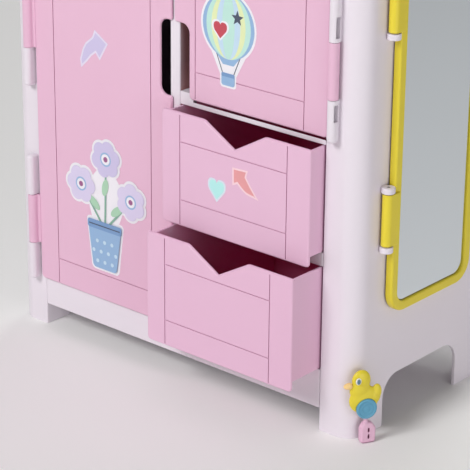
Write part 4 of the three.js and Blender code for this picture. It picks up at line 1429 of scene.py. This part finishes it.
@dataclass
class DuckOrnament:
    """The duck that is snapped on at the right foot. It is drawn facing -Y and turned round the post."""

    shop: Workshop
    corner: float
    turn: float = 61.0
    stand_off: float = 4.0
    thickness: float = 8.0
    puffs: tuple[Puff, ...] = (
        Puff(-0.4, 59.5, 8.6, 10.0), Puff(-1.3, 50.8, 9.7, 9.2, 0.97), Puff(2.6, 41.4, 13.8, 13.2),
        Puff(11.4, 42.6, 6.6, 6.8, 0.9), Puff(14.4, 47.0, 4.5, 7.4, 0.75))
    voxel: float = 0.5
    smoothing: float = 0.6
    smoothings: int = 12
    sliver: float = 0.03
    beak: Pair = (-9.6, 55.8)
    beak_height: float = 1.1
    beak_profile: tuple[Pair, ...] = (
        (0, 0.4), (1.9, 0.4), (2.6, -0.6), (2.8, -1.8), (2.6, -3.4), (2.2, -5.0), (1.7, -6.1), (0.9, -6.8),
        (0, -7.0))
    eye: Pair = (-4.4, 60.6)
    eye_discs: tuple[EyeDisc, ...] = (
        EyeDisc("eye_ground", "eye white", "duck_eye", 2.6, 1.0, 1.25, 0.3),
        EyeDisc("eye_dot", "eye dark", "duck_pupil", 1.4, 1.1, 1.75, 1.1))
    eye_dome: tuple[Pair, ...] = ((0, 0), (0.6, 0.06), (0.92, 0.25), (1, 0.5), (1, 0.8), (0, 0.8))
    disc_centre: Pair = (3.8, 33.9)
    disc_radius: float = 9.3
    disc_thickness: float = 3.0
    disc_edge: float = 0.3
    disc_rings: tuple[Pair, ...] = (
        (0, 0.35), (0.22, 0.4), (0.31, 0.62), (0.39, 0.62), (0.47, 0.36), (0.6, 0.28), (0.67, 0.5),
        (0.74, 0.5), (0.81, 0.14), (0.9, 0.0), (0.97, 0.25), (1, 0.8))
    disc_gap: float = 0.3
    disc_sunk: float = 2.0
    foot_outline: tuple[Corner, ...] = (
        (-0.3, 0, 2.6), (13.7, 0, 2.6), (13.7, 14.2, 3.0), (10.2, 19.2, 2.4), (2.5, 19.2, 2.4),
        (-0.3, 14.2, 3.0))
    foot_depth: float = 3.5
    foot_front_edge: float = 2.2
    foot_back_edge: float = 1.6
    foot_slots: tuple[Pair, ...] = ((6.7, 6.4), (6.7, 12.6))
    slot_half: Pair = (0.9, 2.2)
    slot_corner: float = 0.8
    stem: tuple[Pair, ...] = ((0, 17.0), (2.6, 17.0), (1.9, 21.0), (1.8, 35.0), (0, 35.0))
    stem_x: float = 5.0
    peg_radius: float = 3.5
    peg_height: float = 41.8
    peg_gap: float = 0.3

    def build(self) -> None:
        """Makes the duck's pieces."""
        face, outer = Span.of("plinth_rail").low.y, Span.of("side_panel_right").high.x
        self.place = (Matrix.Translation((outer - self.corner, face + self.corner, 0))
                      @ Matrix.Rotation(math.radians(self.turn), 4, "Z"))
        self.back = -self.corner - self.stand_off
        self.core = self.back - self.thickness / 2
        self.face = self.back - self.thickness
        self._body()
        self._beak()
        self._eye()
        self._disc()
        self._foot()
        peg = drum(self.peg_radius, 0, self.stand_off - 2 * self.peg_gap,
                   (0, self.back + self.peg_gap, self.peg_height), Along.Y, turns=28)
        self._finish(peg, "ornament_peg", "white", "duck_peg")

    def _finish(self, bm: Solid, name: str, finish: str, node: str) -> None:
        """Turns a mesh of the ornament into place and makes the piece."""
        bmesh.ops.transform(bm, matrix=self.place, verts=bm.verts)
        self.shop.piece(bm, name, finish, FRAME_BODY, node, sharp=50.0)

    def _body(self) -> None:
        """Head, breast and tail melted into one soft skin, with a hollow for the disc."""
        body = bmesh.new()
        for puff in self.puffs:
            ball = bmesh.new()
            size = (puff.wide, self.thickness / 2 * puff.depth, puff.tall)
            bmesh.ops.create_uvsphere(ball, u_segments=40, v_segments=24, radius=1.0)
            bmesh.ops.scale(ball, vec=size, verts=ball.verts)
            bmesh.ops.translate(ball, vec=(puff.x, self.core, puff.z), verts=ball.verts)
            absorb(body, ball)
        skin = placed(body, "skin")
        melt = skin.modifiers.new("melt", "REMESH")
        melt.mode, melt.voxel_size = "VOXEL", self.voxel
        settle = skin.modifiers.new("settle", "SMOOTH")
        settle.factor, settle.iterations = self.smoothing, self.smoothings
        x, z = self.disc_centre
        room = drum(self.disc_radius + self.disc_gap, self.face - 3 * ROOM, self.face + self.disc_sunk,
                    (x, 0, z), Along.Y, turns=48)
        body = joined(modified(skin), room, Join.CARVE)
        bmesh.ops.remove_doubles(body, verts=body.verts, dist=self.sliver)
        bmesh.ops.dissolve_degenerate(body, dist=self.sliver, edges=body.edges)
        bmesh.ops.triangulate(body, faces=body.faces)
        self._finish(body, "duck_shape", "yellow", "duck_body")

    def _beak(self) -> None:
        """A short beak with a blunt tip."""
        root, level = self.beak
        beak = lathe(self.beak_profile, (root, self.core, level), Along.X, turns=32)
        bmesh.ops.scale(beak, vec=(1, 1, self.beak_height), space=Matrix.Translation((0, 0, -level)),
                        verts=beak.verts)
        self._finish(beak, "duck_bill", "orange", "duck_beak")

    def _eye(self) -> None:
        """A white disc and a dark dot, both slightly domed."""
        x, z = self.eye
        for disc in self.eye_discs:
            dot = lathe(widened(self.eye_dome, disc.radius), (x, self.face - disc.stand, z), Along.Y,
                        turns=32)
            bmesh.ops.scale(dot, vec=(disc.wide, 1, disc.tall), space=Matrix.Translation((-x, 0, -z)),
                            verts=dot.verts)
            self._finish(dot, disc.name, disc.finish, disc.node)

    def _disc(self) -> None:
        """The blue disc, a shallow dish with two rings."""
        (x, z), radius, deep, edge = self.disc_centre, self.disc_radius, self.disc_thickness, self.disc_edge
        dish = lathe([*widened(self.disc_rings, radius), (radius, deep - edge), (radius - edge, deep),
                      (0, deep)], (x, self.face - deep / 2, z), Along.Y, turns=64)
        self._finish(dish, "duck_wing_disc", "blue", "duck_disc")

    def _foot(self) -> None:
        """The pink foot with its tapering neck and two slots."""
        front, (half, tall) = self.core - self.foot_depth, self.slot_half
        foot = prism(self.foot_outline, Along.Y, front, self.core + self.foot_depth,
                     low_edge=self.foot_front_edge, high_edge=self.foot_back_edge, steps=4)
        for x, z in self.foot_slots:
            slot = prism(rectangle(x - half, x + half, z - tall, z + tall, self.slot_corner), Along.Y,
                         front - ROOM, self.core)
            foot = joined(foot, slot, Join.CARVE)
        stem = lathe(self.stem, (self.stem_x, self.core, 0), Along.Z, turns=28)
        self._finish(joined(foot, stem, Join.WELD), "ornament_foot", "pink", "duck_foot")


class Ink(Enum):
    """Print colours of the stickers."""

    PALE = "e6dcf2"
    PALE_CORAL = "fbd4de"
    PALE_MINT = "dde6f2"
    BRIGHT_MINT = "b6f0ee"
    WHITE = "f4f0f7"
    LILAC = "cfc4e8"
    LIGHT_LILAC = "dbd0ee"
    STEM = "7fae9a"
    LEAF = "a9d3b4"
    BLUE = "8fb4dc"
    DARK_BLUE = "6f97c8"
    PLUM = "9a4a86"
    NAVY = "33405c"
    MINT = "bfe8dc"
    LEMON = "e6efb6"
    SKY = "c4def2"
    RED = "c43148"
    CORAL = "e9999c"


@dataclass
class Artwork:
    """A sticker: thin printed patches on each other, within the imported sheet's thickness.

    Places on it count from x, which starts as the sheet's middle, and from its lower edge.
    """

    shop: Workshop
    node: str
    layer: float = 0.02
    heart_tip: float = 0.6
    heart_shares: tuple[Corner, ...] = (
        (0.5, 0.55, 0.35), (0.5, 1, 0.24), (0.07, 1, 0.16), (0, 0.84, 0), (-0.07, 1, 0.16), (-0.5, 1, 0.24),
        (-0.5, 0.55, 0.35))

    def __post_init__(self) -> None:
        """Starts at the sheet's back."""
        self.span = Span.of(self.node)
        self.x, self.level, self.z = self.span.middle.x, self.span.high.y, self.span.low.z
        self.bm = bmesh.new()
        self.bm.loops.layers.float_color.new(PRINT)

    def _lay(self, bm: Solid, ink: Ink) -> None:
        """Lays a patch on those before it.

        Args:
            bm: The patch, which is freed.
            ink: Its colour.
        """
        layer = bm.loops.layers.float_color.new(PRINT)
        for face in bm.faces:
            for loop in face.loops:
                loop[layer] = linear(ink.value)
        absorb(self.bm, bm)
        self.level -= self.layer

    def patch(self, corners: Sequence[Corner], ink: Ink, arc_steps: int = 6) -> None:
        """Prints a shape with rounded corners."""
        there = [(self.x + u, self.z + v, radius) for u, v, radius in corners]
        self._lay(prism(there, Along.Y, self.level - self.layer, self.level, arc_steps=arc_steps), ink)

    def band(self, low: Corner, high: Corner, ink: Ink) -> None:
        """Prints a shape between two levels, each given as half its width, its height and a radius."""
        (foot, base, below), (head, top, above) = low, high
        self.patch([(-foot, base, below), (foot, base, below), (head, top, above), (-head, top, above)], ink)

    def disc(self, x: float, z: float, radius: float, ink: Ink, narrow: float = 1.0,
             turn: float = 0.0) -> None:
        """Prints a disc or, narrowed and turned, a leaf.

        Args:
            x: Its middle.
            z: Its middle.
            radius: Half its height.
            ink: Its colour.
            narrow: Its width as a share of its height.
            turn: Its turn in the sheet's plane, in degrees.
        """
        bm = bmesh.new()
        bmesh.ops.create_cone(bm, cap_ends=True, segments=40, radius1=radius, radius2=radius,
                              depth=self.layer)
        place = (Matrix.Translation((self.x + x, self.level - self.layer / 2, self.z + z))
                 @ Matrix.Rotation(math.radians(turn), 4, "Y") @ Matrix.Scale(narrow, 4, (1, 0, 0))
                 @ Matrix.Rotation(math.pi / 2, 4, "X"))
        bmesh.ops.transform(bm, matrix=place, verts=bm.verts)
        bmesh.ops.recalc_face_normals(bm, faces=bm.faces)
        self._lay(bm, ink)

    def line(self, start: Pair, end: Pair, width: float, ink: Ink) -> None:
        """Prints a straight stroke.

        Args:
            start: Where it starts.
            end: Where it ends.
            width: Its width.
            ink: Its colour.
        """
        a, b = Vector(start), Vector(end)
        across = (b - a).normalized().orthogonal() * width / 2
        self.patch([(*(a + across), 0), (*(b + across), 0), (*(b - across), 0), (*(a - across), 0)], ink)

    def heart(self, x: float, z: float, width: float, height: float, ink: Ink) -> None:
        """Prints a heart from its tip up."""
        sides = ((x + width * u, z + height * v, width * radius) for u, v, radius in self.heart_shares)
        self.patch([(x, z, self.heart_tip), *sides], ink, arc_steps=10)

    def bordered(self, shares: Sequence[Pair], radius: float, border: float, ground: Ink, ink: Ink) -> None:
        """Prints an outline on a ground of its full size, smaller by a border.

        Args:
            shares: Its corners as shares of the sheet's width and height, from the lower left corner.
            radius: The radius of the ground's corners.
            border: How much smaller the upper print is.
            ground: The ground's colour.
            ink: The colour of the print on it.
        """
        size = self.span.size
        corners = [(u * size.x - size.x / 2, v * size.z) for u, v in shares]
        self.patch([(*corner, radius) for corner in corners], ground)
        bm = section([(*corner, 0.0) for corner in corners], Along.Y, self.level)
        inner = bm.faces[:]
        bmesh.ops.inset_region(bm, faces=inner, thickness=border, use_even_offset=True, use_boundary=True)
        self.patch([(vert.co.x, vert.co.z, border / 4) for vert in inner[0].verts], ink)
        bm.free()

    def finish(self, body: str) -> None:
        """Makes the piece."""
        self.shop.piece(self.bm, f"{self.node}_print", "sticker vinyl", body, self.node, sharp=20.0)


@dataclass
class SmallStickers:
    """The two arrows and the heart, each on a paler ground."""

    shop: Workshop
    arrow_corner: float = 0.5
    arrow_border: float = 1.7
    lilac_arrow_shares: tuple[Pair, ...] = (
        (0.03, 0), (0, 0.21), (0.1, 0.48), (0.2, 0.63), (0.44, 0.81), (0.47, 0.86), (0.53, 1), (1, 0.74),
        (0.7, 0.29), (0.56, 0.45), (0.41, 0.35), (0.24, 0.18))
    coral_arrow_shares: tuple[Pair, ...] = (
        (1, 0), (0.9, 0.13), (0.67, 0.48), (0.52, 0.74), (0.58, 1), (0, 0.97), (0.01, 0.29), (0.19, 0.4),
        (0.32, 0.26), (0.41, 0.18), (0.52, 0.11), (0.68, 0.07), (0.83, 0.05))
    heart_lift: float = 2.6
    heart_narrower: float = 3.6
    heart_lower: float = 4.2

    def build(self) -> None:
        """Makes all three."""
        for node, shares, ground, ink, body in (
                ("sticker_arrow_lilac", self.lilac_arrow_shares, Ink.PALE, Ink.LILAC, "left_door"),
                ("sticker_arrow_coral", self.coral_arrow_shares, Ink.PALE_CORAL, Ink.CORAL, "upper_drawer")):
            art = Artwork(self.shop, node)
            art.bordered(shares, self.arrow_corner, self.arrow_border, ground, ink)
            art.finish(body)
        art = Artwork(self.shop, "sticker_heart_mint")
        size = art.span.size
        art.heart(0, 0, size.x, size.z, Ink.PALE_MINT)
        art.heart(0, self.heart_lift, size.x - self.heart_narrower, size.z - self.heart_lower,
                  Ink.BRIGHT_MINT)
        art.finish("upper_drawer")


@dataclass
class FlowerpotSticker:
    """Three lilac flowers in a blue pot with pale dots, on a white ground."""

    shop: Workshop
    border: float = 2.4
    pot_height: float = 52.0
    pot_width: float = 48.0
    pot_foot_width: float = 34.6
    pot_corners: Pair = (4.0, 2.0)
    ground_corners: Pair = (5.0, 4.0)
    rim: float = 11.0
    rim_corner: float = 2.5
    rim_line_drop: float = 6.8
    rim_line_inset: float = 2.0
    rim_line_width: float = 1.0
    dot_rows: tuple[tuple[float, int], ...] = ((9.5, 3), (19.5, 4), (29.5, 3))
    dot_pitch: float = 9.4
    dot_radius: float = 1.9
    flowers: tuple[Pair, ...] = ((-29.8, 80.6), (2.4, 111.8), (33.6, 78.0))
    flower_tones: tuple[Ink, ...] = (Ink.LIGHT_LILAC, Ink.LILAC, Ink.LIGHT_LILAC)
    flower_rings: tuple[tuple[float, Ink], ...] = ((6.8, Ink.BLUE), (5.2, Ink.WHITE), (2.6, Ink.PLUM))
    flower_radius: float = 21.0
    flower_turn: float = 15.0
    petals: int = 6
    petal_reach: float = 10.0
    petal_radius: float = 8.0
    stem_foot_shares: Pair = (0.12, 0.9)
    stem_width: float = 2.2
    leaves: tuple[Corner, ...] = ((-13, 66, -50), (15, 64, 52), (1, 84, 12))
    leaf_radius: float = 8.5
    leaf_share: float = 0.45
    bunch_foot_share: float = 0.42
    bunch_head_share: float = 0.86
    bunch_sunk: float = 8.0
    bunch_corners: Pair = (3.0, 6.0)

    def build(self) -> None:
        """Prints the ground, the stems and leaves, the flowers and the pot, on each other."""
        art = Artwork(self.shop, "sticker_flowerpot")
        art.x = art.span.low.x + self.flower_radius - self.flowers[0][0]
        rings = [self._petal_ring(index) for index in range(len(self.flowers))]
        self._ground(art, rings)
        foot_share, height_share = self.stem_foot_shares
        for x, z in self.flowers:
            art.line((x * foot_share, self.pot_height * height_share), (x, z), self.stem_width, Ink.STEM)
        for x, z, turn in self.leaves:
            art.disc(x, z, self.leaf_radius, Ink.LEAF, self.leaf_share, turn)
        for (x, z), ring_places, tone in zip(self.flowers, rings, self.flower_tones):
            for place in ring_places:
                art.disc(*place, self.petal_radius, tone)
            for radius, ink in self.flower_rings:
                art.disc(x, z, radius, ink)
        self._pot(art)
        art.finish("left_door")

    def _petal_ring(self, index: int) -> list[Pair]:
        """Middles of a flower's petals.

        Args:
            index: Which flower it is.

        Returns:
            The places of their middles.
        """
        x, z = self.flowers[index]
        turns = (math.radians(360 / self.petals * petal + self.flower_turn * index)
                 for petal in range(self.petals))
        return [(x + self.petal_reach * math.cos(turn), z + self.petal_reach * math.sin(turn))
                for turn in turns]

    def _ground(self, art: Artwork, rings: Sequence[Sequence[Pair]]) -> None:
        """Prints the white ground under the pot, the stems and the flowers.

        Args:
            art: The sticker.
            rings: The middles of each flower's petals.
        """
        low_corner, high_corner = self.ground_corners
        art.band((self.pot_foot_width / 2, 0, low_corner), (self.pot_width / 2, self.pot_height, high_corner),
                 Ink.WHITE)
        half, level = self.pot_foot_width * self.bunch_foot_share, self.pot_height - self.bunch_sunk
        foot_corner, head_corner = self.bunch_corners
        heads = ((x * self.bunch_head_share, z, head_corner) for x, z in reversed(self.flowers))
        art.patch([(-half, level, foot_corner), (half, level, foot_corner), *heads], Ink.WHITE)
        for x, z in (place for ring_places in rings for place in ring_places):
            art.disc(x, z, self.petal_radius + self.border, Ink.WHITE)

    def _pot(self, art: Artwork) -> None:
        """Prints the pot with its rim, its dots and the line round the rim.

        Args:
            art: The sticker.
        """
        half, top = self.pot_width / 2 - self.border, self.pot_height - self.border
        low_corner, high_corner = self.pot_corners
        art.band((self.pot_foot_width / 2 - self.border, self.border, low_corner), (half, top, high_corner),
                 Ink.BLUE)
        art.band((half, self.pot_height - self.rim, self.rim_corner), (half, top, self.rim_corner),
                 Ink.DARK_BLUE)
        for level, count in self.dot_rows:
            for place in range(count):
                art.disc((place - (count - 1) / 2) * self.dot_pitch, level, self.dot_radius, Ink.SKY)
        end, level = half - self.rim_line_inset, self.pot_height - self.rim_line_drop
        art.line((-end, level), (end, level), self.rim_line_width, Ink.NAVY)


@dataclass
class BalloonSticker:
    """A striped hot-air balloon with a heart and a star on it, over a blue basket, on a white ground."""

    shop: Workshop
    border: float = 2.2
    ball_radius: float = 31.0
    ball_rise: float = 54.0
    stripes: tuple[tuple[float, Ink], ...] = (
        (1.0, Ink.BLUE), (0.86, Ink.MINT), (0.66, Ink.LEMON), (0.46, Ink.SKY), (0.24, Ink.MINT))
    mouth_half: float = 6.0
    mouth_drop: float = 5.0
    mouth_head_shares: Pair = (0.62, 0.7)
    mouth_corners: Pair = (1.0, 2.0)
    rope_width: float = 0.9
    rope_foot_share: float = 0.72
    rope_head_shares: Pair = (0.5, 0.78)
    rope_ground_sunk: float = 2.0
    rope_ground_shares: Pair = (0.8, 0.6)
    basket_width: float = 18.0
    basket_height: float = 13.0
    basket_inset: float = 1.6
    basket_lift: float = 1.8
    basket_corner: float = 2.4
    basket_ground_over: float = 2.4
    basket_ground_corner: float = 3.0
    basket_rim: float = 3.4
    basket_rim_corner: float = 1.2
    hearts: tuple[tuple[float, float, float, float, Ink], ...] = (
        (-9.0, -14.0, 19.0, 18.0, Ink.WHITE), (-9.0, -12.0, 15.0, 14.4, Ink.RED))
    star: Pair = (10.0, 9.0)
    star_points: int = 5
    star_radii: Pair = (7.0, 3.0)

    def build(self) -> None:
        """Prints the ground, the ropes, the ball with its pictures, and the basket, on each other."""
        art = Artwork(self.shop, "sticker_balloon")
        radius, centre = self.ball_radius - self.border, self.ball_rise
        self._ground(art, radius)
        wide, deep = self.rope_head_shares
        for way in (-1, 1):
            art.line((way * self.basket_width / 2 * self.rope_foot_share, self.basket_height),
                     (way * radius * wide, centre - radius * deep), self.rope_width, Ink.NAVY)
        (low_corner, high_corner), (wide, deep) = self.mouth_corners, self.mouth_head_shares
        art.band((self.mouth_half, centre - radius - self.mouth_drop, low_corner),
                 (radius * wide, centre - radius * deep, high_corner), Ink.BLUE)
        for share, ink in self.stripes:
            art.disc(0, centre, radius, ink, share)
        for x, above, width, height, ink in self.hearts:
            art.heart(x, centre + above, width, height, ink)
        self._star(art)
        half, top = self.basket_width / 2 - self.basket_inset, self.basket_height
        art.band((half, self.basket_lift, self.basket_corner), (half, top, self.basket_corner), Ink.BLUE)
        art.band((half, top - self.basket_rim, self.basket_rim_corner), (half, top, self.basket_rim_corner),
                 Ink.DARK_BLUE)
        art.finish("right_door")

    def _ground(self, art: Artwork, radius: float) -> None:
        """Prints the white ground under the basket, the ropes and the ball.

        Args:
            art: The sticker.
            radius: The radius of the ball without its border.
        """
        half, top, corner = self.basket_width / 2, self.basket_height, self.basket_ground_corner
        wide, deep = self.rope_ground_shares
        art.band((half, 0, corner), (half, top + self.basket_ground_over, corner), Ink.WHITE)
        art.band((half, top - self.rope_ground_sunk, 0),
                 (radius * wide, self.ball_rise - radius * deep, 0), Ink.WHITE)
        art.disc(0, self.ball_rise, self.ball_radius, Ink.WHITE)

    def _star(self, art: Artwork) -> None:
        """Prints the star on the ball.

        Args:
            art: The sticker.
        """
        x, above = self.star
        points = [(math.radians(180 / self.star_points * step), size)
                  for step, size in enumerate(self.star_radii * self.star_points)]
        art.patch([(x + size * math.sin(turn), self.ball_rise + above + size * math.cos(turn), 0)
                   for turn, size in reversed(points)], Ink.NAVY)


@dataclass
class Studio:
    """Floor, lamps and camera. A lamp has a name, a place, a width and a power."""

    camera_place: tuple[float, float, float] = (1165.2, -1357.9, 837.0)
    azimuth: float = 40.75
    elevation: float = 21.95
    roll: float = 0.52
    focal_pixels: float = 2082.6
    photo_pixels: float = 470.0
    sensor: float = 36.0
    floor_colour: str = "fdfcfb"
    floor_roughness: float = 0.85
    floor_half: float = 6000.0
    world_strength: float = 0.24
    lamps: tuple[tuple[str, tuple[float, float, float], float, float], ...] = (
        ("key", (-300, -2680, 2200), 1300, 62), ("fill", (2600, -800, 300), 1600, 20),
        ("back", (-900, 2700, 2000), 1500, 24))
    aim: tuple[float, float, float] = (0, 0, 300)

    def build(self) -> None:
        """Makes the stage."""
        scene = bpy.context.scene
        scene.view_settings.view_transform = "Standard"
        world = bpy.data.worlds.new("studio")
        world.use_nodes = True
        back = world.node_tree.nodes["Background"]
        back.inputs["Color"].default_value = (1.0, 1.0, 1.0, 1.0)
        back.inputs["Strength"].default_value = self.world_strength
        scene.world = world
        self._floor()
        for lamp in self.lamps:
            self._lamp(*lamp)
        self._camera()

    def _floor(self) -> None:
        """A plain pale floor."""
        bm = bmesh.new()
        bmesh.ops.create_grid(bm, x_segments=1, y_segments=1, size=self.floor_half * MM)
        floor = placed(bm, "floor")
        material, _, shader = new_material("floor")
        shader["Base Color"].default_value = linear(self.floor_colour)
        shader["Roughness"].default_value = self.floor_roughness
        floor.data.materials.append(material)

    def _lamp(self, name: str, place: Sequence[float], size: float, power: float) -> None:
        """A large soft lamp that faces the wardrobe's middle.

        Args:
            name: Its name.
            place: Its place.
            size: The width of its disc.
            power: Its power in watts.
        """
        light = bpy.data.lights.new(name, "AREA")
        light.shape = "DISK"
        light.size = size * MM
        light.energy = power
        lamp = bpy.data.objects.new(name, light)
        spot = Vector(place) * MM
        turned = (Vector(self.aim) * MM - spot).to_track_quat("-Z", "Y").to_matrix().to_4x4()
        lamp.matrix_world = Matrix.Translation(spot) @ turned
        bpy.context.scene.collection.objects.link(lamp)

    def _camera(self) -> None:
        """The photograph's camera, from its azimuth, elevation and roll."""
        turn, tilt, roll = (math.radians(angle) for angle in (self.azimuth, self.elevation, self.roll))
        back = Vector((math.cos(tilt) * math.sin(turn), -math.cos(tilt) * math.cos(turn), math.sin(tilt)))
        level = Vector((math.cos(turn), math.sin(turn), 0))
        right = level * math.cos(roll) + back.cross(level) * math.sin(roll)
        data = bpy.data.cameras.new("camera")
        data.sensor_width = self.sensor
        data.lens = self.focal_pixels / self.photo_pixels * self.sensor
        camera = bpy.data.objects.new("camera", data)
        camera.matrix_world = (Matrix.Translation(Vector(self.camera_place) * MM)
                               @ Matrix((right, back.cross(right), back)).transposed().to_4x4())
        bpy.context.scene.collection.objects.link(camera)
        bpy.context.scene.camera = camera


def main() -> None:
    """Loads the frame and builds the stage, the pieces and the finishes."""
    logging.basicConfig(level=logging.INFO, format="%(message)s")
    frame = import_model()
    Studio().build()
    shop, hinge = Workshop(frame), DoorHinge()
    cabinet = Cabinet(shop, hinge)
    cabinet.build()
    for side, word in SIDES:
        Door(shop, hinge, side, word).build()
    for word in ("upper", "lower"):
        Drawer(shop, word).build()
    SideMirror(shop).build()
    DuckOrnament(shop, cabinet.corner).build()
    for stickers in (SmallStickers(shop), FlowerpotSticker(shop), BalloonSticker(shop)):
        stickers.build()
    shop.dress_rest()


if __name__ == "__main__":
    main()
